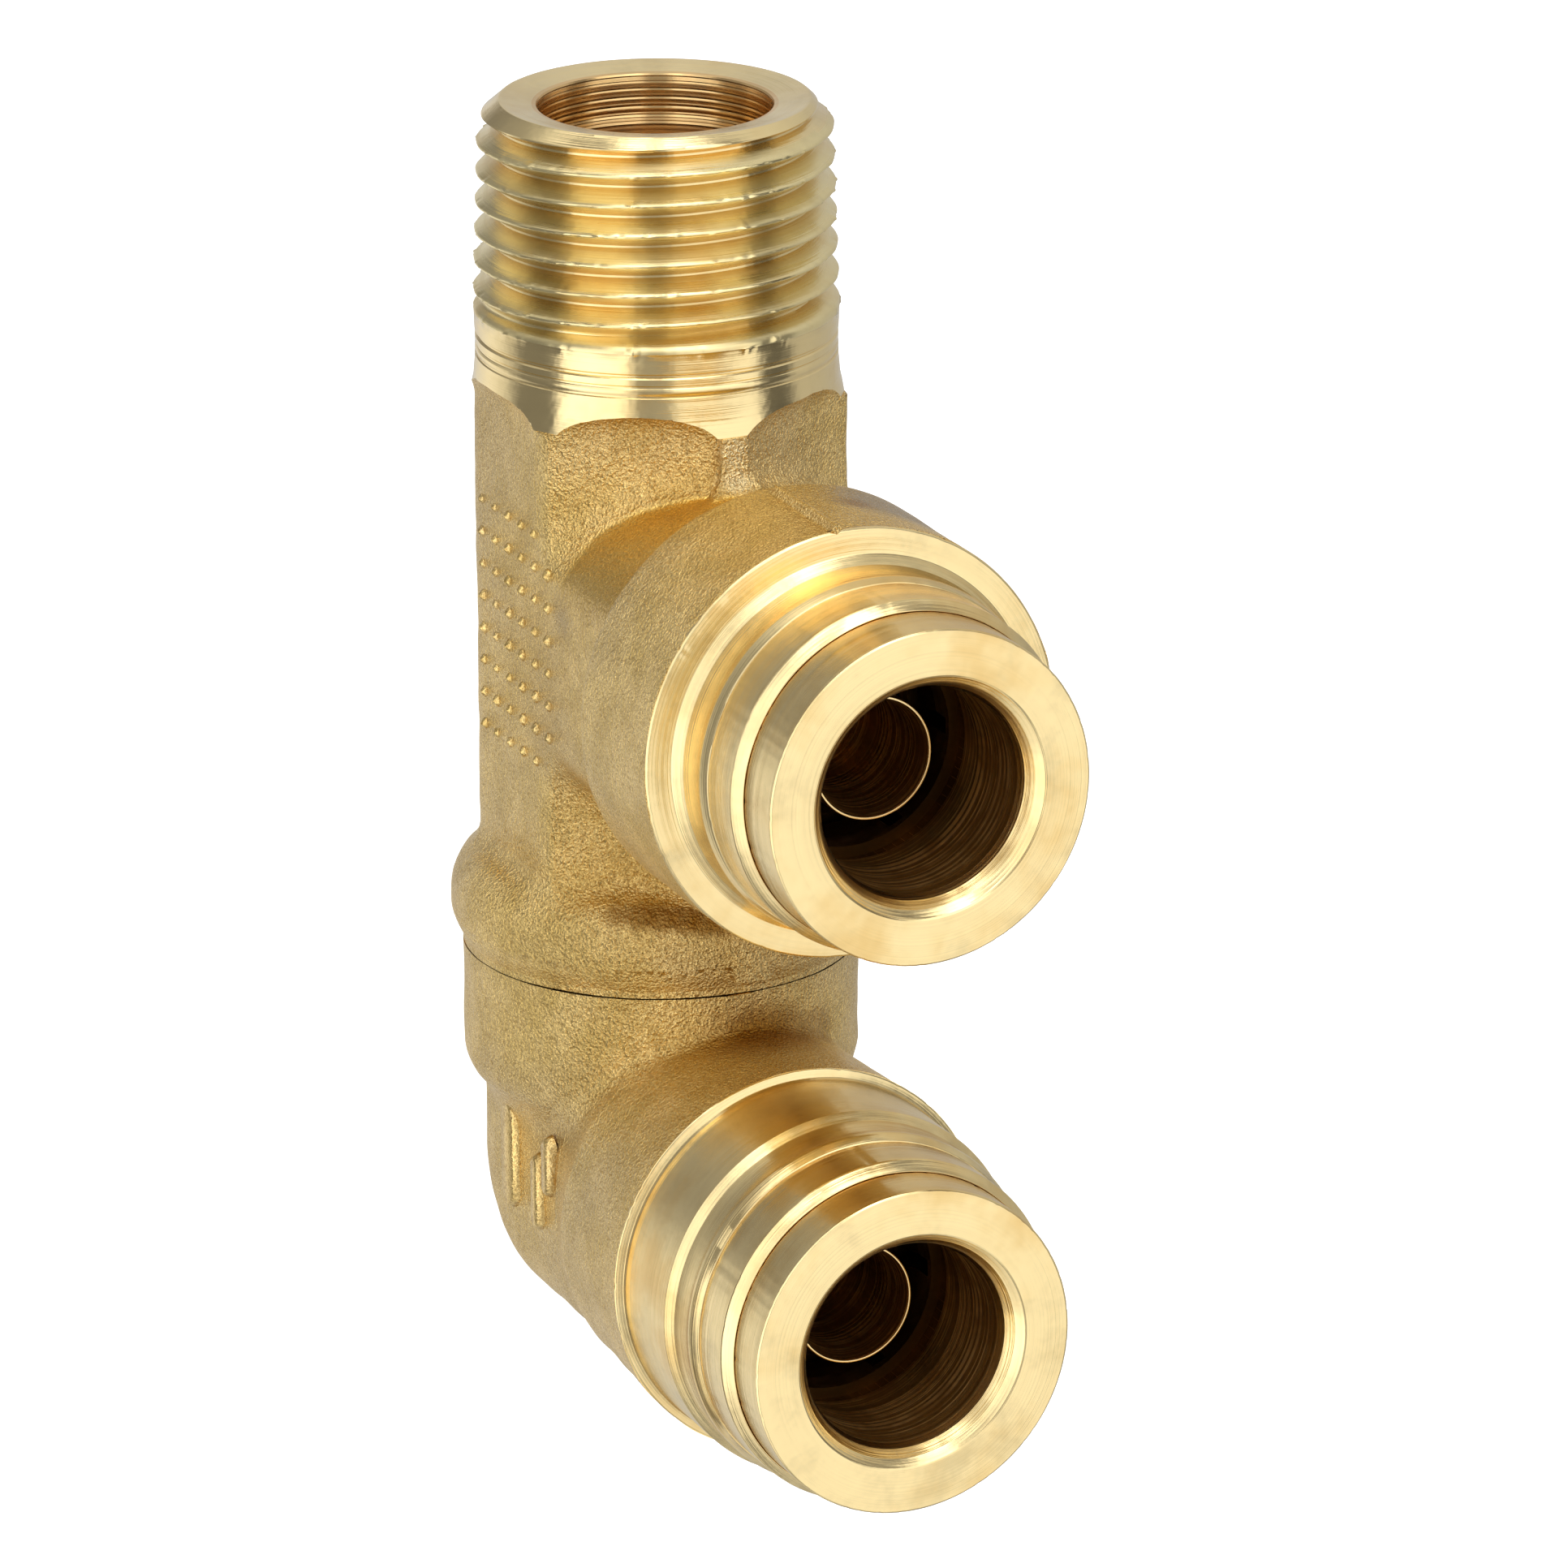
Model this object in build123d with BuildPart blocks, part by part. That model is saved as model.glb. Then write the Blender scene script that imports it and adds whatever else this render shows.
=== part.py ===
"""Swivel push-to-connect fitting for 3/8 inch air-brake tubing, with a 3/8-18 taper pipe thread.

A forged upper body carries the pipe thread, a hexagon and one tube port. A forged elbow with a second tube
port hangs below it and turns about the pipe axis on a hollow stem.

Millimetres. The origin is the centre of the pipe thread's free end, +Z runs up the pipe axis and out of the
thread, and both tube ports face -Y. "Reach" is a distance from the Z axis along a port, towards -Y.
"""

from build123d import *
from math import atan, cos, degrees, radians, tan
import os

# Heights of the main features
UPPER_PORT_Z = -25.0
SEAM_Z = -41.15
LOWER_PORT_Z = -52.25
SEAM_GAP = 0.1

# Taper pipe thread, 18 threads to the inch, 1 in 16 on diameter
PITCH = 25.4 / 18
TAPER = 1 / 32  # radius gained per millimetre of length
CREST_END_R = 8.28  # crest radius at the thread's free end
THREAD_DEPTH = 1.0
THREAD_ROOT_FLAT = 0.12
THREAD_END_Z = -9.98
GROOVE_START_Z = -10.32
THREAD_TURNS = 8
FACE_R = 7.3  # highest circle of the slightly dished end face
FACE_DISH = 0.27
CHAMFER_R = 8.1
CHAMFER_Z = -0.68
CREST_START_Z = -1.0
PIPE_BORE_R = 5.5

# Turned skirt under the thread, and the forged hexagon
NECK_R = 8.54
SKIRT_TOP_Z = -12.4
SKIRT_R = 8.62
SKIRT_FOOT_Z = -13.3
HEX_AF = 15.8
HEX_CORNER_FILLET = 2.6
HEX_START_Z = -14.0

# Swivel collars and the elbow's barrel
COLLAR_R = 10.0
COLLAR_TOP_R = 8.0
COLLAR_TOP = 4.6  # heights above the seam
COLLAR_ARC = 4.0
COLLAR_ARC_R = 9.35
COLLAR_SIDE = 2.7
COLLAR_CHAMFER = 0.8
COLLAR_CHAMFER_FOOT = 0.25
SEAM_R = 9.45
ELBOW_COLLAR_END_Z = -47.15
COLLAR_STEP = 1.7
BARREL_R = 8.65

# Port bosses: reach of the retainer sleeve's front face sets every other station of a port
UPPER_FACE = 26.3
LOWER_FACE = 25.0
UPPER_GAP = 1.3  # release gap behind the button at rest
LOWER_GAP = 0.9
FULL_GAP = 1.3
UPPER_SUPPORT_TIP = 24.1
LOWER_SUPPORT_TIP = 22.1
UPPER_NECK_X = 9.24  # half width and half height of the oval neck, before its sides are cut flat
UPPER_NECK_Z = 8.3
UPPER_BOSS_R = 10.2
UPPER_BOSS_START = 12.0
UPPER_BOSS_FULL = 14.3
LOWER_NECK_R = 8.9
LOWER_NECK_START = 6.4
LOWER_NECK_FULL = 8.6
LOWER_SHOULDER_R = 9.42
LOWER_SHOULDER = 15.6
LOWER_SHOULDER_WIDTH = 0.45
LOWER_BOSS_R = 8.97

# Rolled lip: depths behind the sleeve's front face
LIP_BACK = 5.2
BOSS_END = 4.4
LIP_START = 4.3
LIP_MIDDLE = 3.4
LIP_RIDGE = 2.25
LIP_FRONT = 1.65
LIP_SINK = 0.13
UPPER_LIP_R = 8.98
UPPER_RIDGE_R = 8.55
LOWER_RIDGE_R = 8.65
RIDGE_BEVEL_R = 8.4

# Push-in cartridge
TUBE_BORE_R = 4.85
SLEEVE_R = 8.0
RIM_R = 8.35  # the sleeve in front of the lip, with a recess that the button sinks into
RIM_BEVEL = 0.6
RIM_EDGE = 0.04
RECESS_R = 7.93
RECESS_DEPTH = 1.2
SLEEVE_SEAT_R = 8.4
LIP_SHOULDER = 4.0  # depth of the sleeve's shoulder, which the lip is rolled over
SLEEVE_LENGTH = 9.0
COLLET_ROOM_R = 7.3
CONE_FOOT = 7.14  # depths of the cone that closes the collet, behind the sleeve's front face
CONE_TOP = 5.2
NECK_BORE_R = 6.15
WIPER_GROOVE_R = 6.9
WIPER_GROOVE_NEAR = 0.8
WIPER_GROOVE_FAR = 2.0
BUTTON_NECK_R = 6.08
BUTTON_NECK_LENGTH = 3.4
BUTTON_R = 7.87
BUTTON_THICKNESS = 2.7
BUTTON_BEVEL = 0.15
MOUTH_R = 5.45
MOUTH_DEPTH = 0.9
GUIDE_LENGTH = 4.9  # length of the button's bore that guides the tube
RELIEF_R = 5.15
SPIGOT_R = 5.5  # joint between the button's neck and the collet
SPIGOT_LENGTH = 1.2
SPACER_THICKNESS = 1.0
SPACER_BORE_R = 4.95
SEAL_POCKET_R = 6.45
SEAL_POCKET = 2.0
SEAL_SECTION_R = 0.88
TUBE_SEAT = 15.7  # depth of the tube's stop behind the sleeve's front face
PASSAGE_R = 3.4
SUPPORT_R = 2.95
SUPPORT_BORE_R = 2.6
SUPPORT_FLANGE = 2.2
SUPPORT_TAPER_BACK = 0.2
SUPPORT_TAPER_FRONT = 0.25
SUPPORT_LEAD = 0.15

# Collet: distances behind the end of the button's neck
COLLET_SLOTS = 6
COLLET_SLOT_WIDTH = 0.8
COLLET_SLOT_START = 1.6
COLLET_HEAD_R = 6.9
COLLET_CONE_TOP = 2.0
COLLET_CONE_FOOT = 3.45
COLLET_END = 4.25
COLLET_TOOTH_R = 4.74
COLLET_ROOT_R = 4.98
COLLET_TEETH = (3.1, 3.9)
COLLET_ROOT = 3.3
COLLET_RELIEF = 2.6
COLLET_LEAD_R = 5.1

# Swivel stem
STEM_R = 6.55
STEM_BORE_R = 4.0
SWIVEL_BORE_R = 6.6
STEM_TOP_Z = -31.55
STEM_LEAD = 0.4
SWIVEL_BORE_TOP_Z = -31.25
STEM_FOOT_Z = -48.65
CROSS_PASSAGE_R = 4.6
CROSS_PASSAGE_END = 1.2  # how far the upright passage runs past the port's axis, and its drilled point
DRILL_POINT = 3.8
STEM_SEAL_ZS = (-33.15, -35.95)
STEM_SEAL_GROOVE = 2.0
STEM_SEAL_FLOOR_R = 5.1
STEM_SEAL_SECTION_R = 0.73
SNAP_RING_Z = -38.55
SNAP_RING_HEIGHT = 1.2
SNAP_RING_R = 7.35
SNAP_RING_BORE_R = 5.9
SNAP_RING_SPLIT = 2.4
SNAP_GROOVE_R = 7.5
SNAP_GROOVE_FLOOR_R = 5.4
WASHER_R = 8.3
WASHER_RECESS_R = 8.4
WASHER_THICKNESS = 0.8
RUNNING_GAP = 0.05

os.makedirs("parts", exist_ok=True)


def keep(part, name):
    """Labels a finished piece and writes it under its own name."""
    part.label = name
    export_step(part, f"parts/{name}.step")


def port_plane(height, reach=0.0):
    """Plane square to a port's axis, facing out of the port, at a distance from the Z axis."""
    return Plane(origin=(0, -reach, height), x_dir=(1, 0, 0), z_dir=(0, -1, 0))


def port_axis(height):
    return Axis((0, 0, height), (0, -1, 0))


def turned(profile, height):
    """Piece turned about a port's axis from (radius, reach) points."""
    with BuildPart() as piece:
        with BuildSketch(Plane.XY.offset(height)):
            with BuildLine():
                Polyline(*[(radius, -reach) for radius, reach in profile], close=True)
            make_face()
        revolve(axis=port_axis(height))
    return piece.part


def upright(profile):
    """Piece turned about the Z axis from (radius, height) points."""
    with BuildPart() as piece:
        with BuildSketch(Plane.XZ):
            with BuildLine():
                Polyline(*profile, close=True)
            make_face()
        revolve(axis=Axis.Z)
    return piece.part


def crest_r(z):
    return CREST_END_R - TAPER * z


def port_cavity(height, face):
    """Stepped bore of one port: sleeve seat, seal pocket, tube seat and inner passage."""
    spacer_back = face - SLEEVE_LENGTH - SPACER_THICKNESS
    return turned(
        [
            (0, 0),
            (PASSAGE_R, 0),
            (PASSAGE_R, face - TUBE_SEAT),
            (TUBE_BORE_R, face - TUBE_SEAT),
            (TUBE_BORE_R, spacer_back - SEAL_POCKET),
            (SEAL_POCKET_R, spacer_back - SEAL_POCKET),
            (SEAL_POCKET_R, spacer_back),
            (SLEEVE_SEAT_R, spacer_back),
            (SLEEVE_SEAT_R, face - LIP_SHOULDER),
            (SLEEVE_R, face - LIP_SHOULDER),
            (SLEEVE_R, face),
            (0, face),
        ],
        height,
    )


def crimped_lip(height, face, outer_r, ridge_r):
    """Wall of the boss, rolled in over the sleeve's shoulder."""
    with BuildPart() as lip:
        with BuildSketch(Plane.XY.offset(height)):
            with BuildLine():
                side = Line((outer_r, LIP_BACK - face), (outer_r, LIP_START - face))
                sink = (outer_r + ridge_r) / 2 - LIP_SINK
                roll = ThreePointArc(side @ 1, (sink, LIP_MIDDLE - face), (ridge_r, LIP_RIDGE - face))
                inner_r = SLEEVE_R - 0.4
                bevel = Line(roll @ 1, (RIDGE_BEVEL_R, LIP_FRONT - face))
                Polyline(bevel @ 1, (inner_r, LIP_FRONT - face), (inner_r, LIP_BACK - face), side @ 0)
            make_face()
        revolve(axis=port_axis(height))
    return lip.part


def thread_turn(start_z):
    """One turn of the pipe thread's V groove, rising from start_z."""
    cut_depth = THREAD_DEPTH + 0.3
    half_root = THREAD_ROOT_FLAT / 2
    half_mouth = half_root + THREAD_DEPTH * tan(radians(30))
    with BuildPart() as groove:
        with BuildLine():
            path = Helix(
                pitch=PITCH,
                height=PITCH,
                radius=crest_r(start_z) - THREAD_DEPTH,
                center=(0, 0, start_z),
                cone_angle=-degrees(atan(TAPER)),
            )
        with BuildSketch(Plane(origin=path @ 0, x_dir=(1, 0, 0), z_dir=path % 0)):
            with BuildLine():
                Polyline(
                    (0, -half_root),
                    (cut_depth, -half_mouth),
                    (cut_depth, half_mouth),
                    (0, half_root),
                    close=True,
                )
            make_face()
        sweep(path=path, is_frenet=True)
    return groove.part


# Upper body: hexagon, port boss and swivel collar in one forging, then turned, threaded and bored
HEX_CORNER_R = HEX_AF / 2 / cos(radians(30))
with BuildPart() as upper_body:
    with BuildSketch(Plane.XY.offset(SKIRT_FOOT_Z)) as hexagon:
        RegularPolygon(HEX_CORNER_R, 6, rotation=30)
        fillet(hexagon.vertices(), HEX_CORNER_FILLET)
    extrude(amount=SEAM_Z - SKIRT_FOOT_Z)
    # The hexagon's corners are turned off at the top
    with BuildSketch(Plane.XZ):
        with BuildLine():
            Polyline(
                (0, SKIRT_FOOT_Z),
                (SKIRT_R, SKIRT_FOOT_Z),
                (HEX_CORNER_R, HEX_START_Z),
                (HEX_CORNER_R, SEAM_Z),
                (0, SEAM_Z),
                close=True,
            )
        make_face()
    revolve(axis=Axis.Z, mode=Mode.INTERSECT)
    # Oval port neck, flush with the hexagon's side flats, and the round boss in front of it
    with BuildSketch(port_plane(UPPER_PORT_Z)):
        Ellipse(UPPER_NECK_X, UPPER_NECK_Z)
        Rectangle(HEX_AF, 3 * HEX_AF, mode=Mode.INTERSECT)
    extrude(amount=UPPER_BOSS_FULL + 1)
    with BuildSketch(Plane.XY.offset(UPPER_PORT_Z)):
        with BuildLine():
            Polyline(
                (0, -UPPER_BOSS_START),
                (UPPER_NECK_Z, -UPPER_BOSS_START),
                (UPPER_BOSS_R - 0.4, 0.9 - UPPER_BOSS_FULL),
                (UPPER_BOSS_R, -UPPER_BOSS_FULL),
                (UPPER_BOSS_R, BOSS_END - UPPER_FACE),
                (0, BOSS_END - UPPER_FACE),
                close=True,
            )
        make_face()
    revolve(axis=port_axis(UPPER_PORT_Z))
    add(crimped_lip(UPPER_PORT_Z, UPPER_FACE, UPPER_LIP_R, UPPER_RIDGE_R))
    # Swivel collar with a rounded shoulder
    with BuildSketch(Plane.XZ):
        with BuildLine():
            top = Line((0, SEAM_Z + COLLAR_TOP), (COLLAR_TOP_R, SEAM_Z + COLLAR_TOP))
            shoulder_middle = (COLLAR_ARC_R, SEAM_Z + COLLAR_ARC)
            shoulder = ThreePointArc(top @ 1, shoulder_middle, (COLLAR_R, SEAM_Z + COLLAR_SIDE))
            Polyline(
                shoulder @ 1,
                (COLLAR_R, SEAM_Z + COLLAR_CHAMFER),
                (SEAM_R, SEAM_Z + COLLAR_CHAMFER_FOOT),
                (SEAM_R, SEAM_Z),
                (0, SEAM_Z),
                top @ 0,
            )
        make_face()
    revolve(axis=Axis.Z)
    # Thread blank with its chamfered end, and the skirt between the thread and the hexagon
    add(
        upright(
            [
                (0, 0),
                (FACE_R, 0),
                (CHAMFER_R, CHAMFER_Z),
                (crest_r(CREST_START_Z), CREST_START_Z),
                (crest_r(THREAD_END_Z), THREAD_END_Z),
                (NECK_R, THREAD_END_Z),
                (NECK_R, SKIRT_TOP_Z),
                (SKIRT_R, SKIRT_FOOT_Z),
                (HEX_AF / 2 - 0.1, HEX_START_Z),
                (0, HEX_START_Z),
            ]
        )
    )
    for turn in range(THREAD_TURNS):
        add(thread_turn(GROOVE_START_Z + turn * PITCH), mode=Mode.SUBTRACT)
    # Through bore, swivel bore with its snap-ring groove and washer recess, and the port's cavity
    snap_top = SNAP_RING_Z + SNAP_RING_HEIGHT / 2 + RUNNING_GAP
    snap_foot = SNAP_RING_Z - SNAP_RING_HEIGHT / 2 - RUNNING_GAP
    add(
        upright(
            [
                (0, 1),
                (FACE_R, 1),
                (FACE_R, 0),
                (PIPE_BORE_R, -FACE_DISH),
                (PIPE_BORE_R, SWIVEL_BORE_TOP_Z),
                (SWIVEL_BORE_R, SWIVEL_BORE_TOP_Z),
                (SWIVEL_BORE_R, snap_top),
                (SNAP_GROOVE_R, snap_top),
                (SNAP_GROOVE_R, snap_foot),
                (SWIVEL_BORE_R, snap_foot),
                (SWIVEL_BORE_R, SEAM_Z + WASHER_THICKNESS),
                (WASHER_RECESS_R, SEAM_Z + WASHER_THICKNESS),
                (WASHER_RECESS_R, SEAM_Z - 1),
                (0, SEAM_Z - 1),
            ]
        ),
        mode=Mode.SUBTRACT,
    )
    add(port_cavity(UPPER_PORT_Z, UPPER_FACE), mode=Mode.SUBTRACT)
keep(upper_body.part, "upper_body")

# Lower elbow: collar, flat-sided barrel and port boss in one forging, bored for the stem and the port
ELBOW_TOP_Z = SEAM_Z - SEAM_GAP
with BuildPart() as lower_elbow:
    with BuildSketch(Plane.XY.offset(LOWER_PORT_Z)):
        Circle(BARREL_R)
    extrude(amount=ELBOW_TOP_Z - LOWER_PORT_Z)
    with Locations((0, 0, LOWER_PORT_Z)):
        Sphere(BARREL_R)
    with BuildSketch(port_plane(LOWER_PORT_Z)):
        Circle(BARREL_R)
    extrude(amount=LOWER_NECK_FULL + 1)
    with BuildSketch(Plane.XY.offset(ELBOW_TOP_Z)):
        Rectangle(HEX_AF, 4 * BARREL_R)
    extrude(amount=LOWER_PORT_Z - ELBOW_TOP_Z - 2 * BARREL_R, mode=Mode.INTERSECT)
    add(
        upright(
            [
                (0, ELBOW_TOP_Z),
                (SEAM_R, ELBOW_TOP_Z),
                (SEAM_R, ELBOW_COLLAR_END_Z),
                (SEAM_R - COLLAR_STEP, ELBOW_COLLAR_END_Z - COLLAR_STEP),
                (0, ELBOW_COLLAR_END_Z - COLLAR_STEP),
            ]
        )
    )
    add(
        turned(
            [
                (0, LOWER_NECK_START),
                (LOWER_NECK_R - 0.8, LOWER_NECK_START),
                (LOWER_NECK_R, LOWER_NECK_FULL),
                (LOWER_SHOULDER_R, LOWER_SHOULDER),
                (LOWER_SHOULDER_R, LOWER_SHOULDER + LOWER_SHOULDER_WIDTH),
                (LOWER_BOSS_R, LOWER_SHOULDER + LOWER_SHOULDER_WIDTH),
                (LOWER_BOSS_R, LOWER_FACE - BOSS_END),
                (0, LOWER_FACE - BOSS_END),
            ],
            LOWER_PORT_Z,
        )
    )
    add(crimped_lip(LOWER_PORT_Z, LOWER_FACE, LOWER_BOSS_R, LOWER_RIDGE_R))
    add(
        upright(
            [
                (0, ELBOW_TOP_Z + 1),
                (STEM_R, ELBOW_TOP_Z + 1),
                (STEM_R, STEM_FOOT_Z),
                (CROSS_PASSAGE_R, STEM_FOOT_Z),
                (CROSS_PASSAGE_R, LOWER_PORT_Z - CROSS_PASSAGE_END),
                (0, LOWER_PORT_Z - DRILL_POINT),
            ]
        ),
        mode=Mode.SUBTRACT,
    )
    add(port_cavity(LOWER_PORT_Z, LOWER_FACE), mode=Mode.SUBTRACT)
keep(lower_elbow.part, "lower_elbow")

# Swivel stem, its two O-rings, the split snap ring that holds it up and the washer between the collars
stem_profile = [(STEM_BORE_R, STEM_FOOT_Z), (STEM_BORE_R, STEM_TOP_Z), (STEM_R - STEM_LEAD, STEM_TOP_Z)]
stem_profile += [(STEM_R, STEM_TOP_Z - STEM_LEAD)]
for groove_z in STEM_SEAL_ZS:
    top = groove_z + STEM_SEAL_GROOVE / 2
    foot = groove_z - STEM_SEAL_GROOVE / 2
    stem_profile += [(STEM_R, top), (STEM_SEAL_FLOOR_R, top), (STEM_SEAL_FLOOR_R, foot), (STEM_R, foot)]
stem_profile += [(STEM_R, snap_top), (SNAP_GROOVE_FLOOR_R, snap_top)]
stem_profile += [(SNAP_GROOVE_FLOOR_R, snap_foot), (STEM_R, snap_foot), (STEM_R, STEM_FOOT_Z)]
keep(upright(stem_profile), "swivel_stem")

for name, seal_z in zip(("stem_seal_upper", "stem_seal_lower"), STEM_SEAL_ZS):
    with BuildPart() as stem_seal:
        with BuildSketch(Plane.XZ):
            with Locations(((SWIVEL_BORE_R + STEM_SEAL_FLOOR_R) / 2, seal_z)):
                Circle(STEM_SEAL_SECTION_R)
        revolve(axis=Axis.Z)
    keep(stem_seal.part, name)

with BuildPart() as snap_ring:
    with BuildSketch(Plane.XY.offset(SNAP_RING_Z - SNAP_RING_HEIGHT / 2)):
        Circle(SNAP_RING_R)
        Circle(SNAP_RING_BORE_R, mode=Mode.SUBTRACT)
        with Locations((0, SNAP_RING_R)):
            Rectangle(SNAP_RING_SPLIT, SNAP_RING_R, mode=Mode.SUBTRACT)
    extrude(amount=SNAP_RING_HEIGHT)
keep(snap_ring.part, "stem_retaining_ring")

with BuildPart() as thrust_washer:
    with BuildSketch(Plane.XY.offset(SEAM_Z - RUNNING_GAP)):
        Circle(WASHER_R)
        Circle(STEM_R + 0.15, mode=Mode.SUBTRACT)
    extrude(amount=WASHER_THICKNESS + RUNNING_GAP)
keep(thrust_washer.part, "thrust_washer")


def cartridge(prefix, height, face, gap, support_tip):
    """All the pieces of one push-in port, written with the port's name in front."""
    spacer_back = face - SLEEVE_LENGTH - SPACER_THICKNESS

    keep(
        turned(
            [
                (RECESS_R, face),
                (RECESS_R, face + RECESS_DEPTH),
                (RECESS_R + RIM_EDGE, face + RECESS_DEPTH),
                (RIM_R, face + RIM_BEVEL),
                (RIM_R, face - LIP_FRONT),
                (SLEEVE_R, face - LIP_FRONT),
                (SLEEVE_R, face - LIP_SHOULDER),
                (SLEEVE_SEAT_R, face - LIP_SHOULDER),
                (SLEEVE_SEAT_R, face - SLEEVE_LENGTH),
                (COLLET_ROOM_R, face - SLEEVE_LENGTH),
                (COLLET_ROOM_R, face - CONE_FOOT),
                (NECK_BORE_R, face - CONE_TOP),
                (NECK_BORE_R, face - WIPER_GROOVE_FAR),
                (WIPER_GROOVE_R, face - WIPER_GROOVE_FAR),
                (WIPER_GROOVE_R, face - WIPER_GROOVE_NEAR),
                (NECK_BORE_R, face - WIPER_GROOVE_NEAR),
                (NECK_BORE_R, face),
            ],
            height,
        ),
        f"{prefix}_retainer_sleeve",
    )
    keep(
        turned(
            [
                (BUTTON_NECK_R + RUNNING_GAP, face - WIPER_GROOVE_NEAR - RUNNING_GAP),
                (WIPER_GROOVE_R - 0.02, face - WIPER_GROOVE_NEAR - RUNNING_GAP),
                (WIPER_GROOVE_R - 0.02, face - WIPER_GROOVE_FAR + RUNNING_GAP),
                (BUTTON_NECK_R + RUNNING_GAP, face - WIPER_GROOVE_FAR + RUNNING_GAP),
            ],
            height,
        ),
        f"{prefix}_wiper_ring",
    )
    keep(
        turned(
            [
                (SPACER_BORE_R, face - SLEEVE_LENGTH),
                (SLEEVE_SEAT_R - 0.02, face - SLEEVE_LENGTH),
                (SLEEVE_SEAT_R - 0.02, spacer_back),
                (SPACER_BORE_R, spacer_back),
            ],
            height,
        ),
        f"{prefix}_spacer_ring",
    )
    with BuildPart() as tube_seal:
        with BuildSketch(Plane.XY.offset(height)):
            with Locations((SEAL_POCKET_R - SEAL_SECTION_R, -(spacer_back - SEAL_POCKET / 2))):
                Circle(SEAL_SECTION_R)
        revolve(axis=port_axis(height))
    keep(tube_seal.part, f"{prefix}_tube_seal")
    keep(
        turned(
            [
                (SUPPORT_BORE_R, face - TUBE_SEAT - SUPPORT_FLANGE),
                (PASSAGE_R, face - TUBE_SEAT - SUPPORT_FLANGE),
                (PASSAGE_R, face - TUBE_SEAT - SUPPORT_TAPER_BACK),
                (SUPPORT_R, face - TUBE_SEAT + SUPPORT_TAPER_FRONT),
                (SUPPORT_R, support_tip - 2 * SUPPORT_LEAD),
                (SUPPORT_R - SUPPORT_LEAD, support_tip),
                (SUPPORT_BORE_R + 0.05, support_tip),
                (SUPPORT_BORE_R, support_tip - SUPPORT_LEAD),
            ],
            height,
        ),
        f"{prefix}_tube_support",
    )

    # The button and the collet travel together
    back = face + gap
    front = back + BUTTON_THICKNESS
    guide_end = front - MOUTH_DEPTH - GUIDE_LENGTH
    neck_end = back - FULL_GAP - BUTTON_NECK_LENGTH
    keep(
        turned(
            [
                (BUTTON_NECK_R, back),
                (BUTTON_R - BUTTON_BEVEL, back),
                (BUTTON_R, back + BUTTON_BEVEL),
                (BUTTON_R, front - BUTTON_BEVEL),
                (BUTTON_R - BUTTON_BEVEL, front),
                (MOUTH_R, front),
                (TUBE_BORE_R, front - MOUTH_DEPTH),
                (TUBE_BORE_R, guide_end),
                (RELIEF_R, guide_end),
                (RELIEF_R, neck_end - SPIGOT_LENGTH),
                (SPIGOT_R, neck_end - SPIGOT_LENGTH),
                (SPIGOT_R, neck_end),
                (BUTTON_NECK_R, neck_end),
            ],
            height,
        ),
        f"{prefix}_release_button",
    )
    with BuildPart() as collet:
        add(
            turned(
                [
                    (SPIGOT_R, neck_end),
                    (BUTTON_NECK_R, neck_end),
                    (BUTTON_NECK_R, neck_end - COLLET_CONE_TOP),
                    (COLLET_HEAD_R, neck_end - COLLET_CONE_FOOT),
                    (COLLET_HEAD_R, neck_end - COLLET_END),
                    (COLLET_LEAD_R, neck_end - COLLET_END),
                    (COLLET_TOOTH_R, neck_end - COLLET_TEETH[1]),
                    (COLLET_ROOT_R, neck_end - COLLET_ROOT),
                    (COLLET_TOOTH_R, neck_end - COLLET_TEETH[0]),
                    (SPACER_BORE_R, neck_end - COLLET_RELIEF),
                    (SPACER_BORE_R, neck_end - SPIGOT_LENGTH),
                    (SPIGOT_R, neck_end - SPIGOT_LENGTH),
                ],
                height,
            )
        )
        with BuildSketch(port_plane(height, neck_end - COLLET_SLOT_START)):
            with PolarLocations(COLLET_HEAD_R - 1, COLLET_SLOTS):
                Rectangle(4.0, COLLET_SLOT_WIDTH)
        extrude(amount=-COLLET_END, mode=Mode.SUBTRACT)
    keep(collet.part, f"{prefix}_collet")


cartridge("upper", UPPER_PORT_Z, UPPER_FACE, UPPER_GAP, UPPER_SUPPORT_TIP)
cartridge("lower", LOWER_PORT_Z, LOWER_FACE, LOWER_GAP, LOWER_SUPPORT_TIP)
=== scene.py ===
"""The looks of the swivel push-to-connect tube fitting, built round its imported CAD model.

Lengths are millimetres, as in the CAD source, until a mesh is made: MM turns them into metres. The frame is
the part's own: the origin is the centre of the pipe thread's free end, +Z runs up the thread, and both ports
face -Y. "Reach" is a distance from the Z axis along a port, towards -Y.
"""

import math
import bmesh
import bpy
import numpy as np
from mathutils import Matrix, Vector


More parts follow.
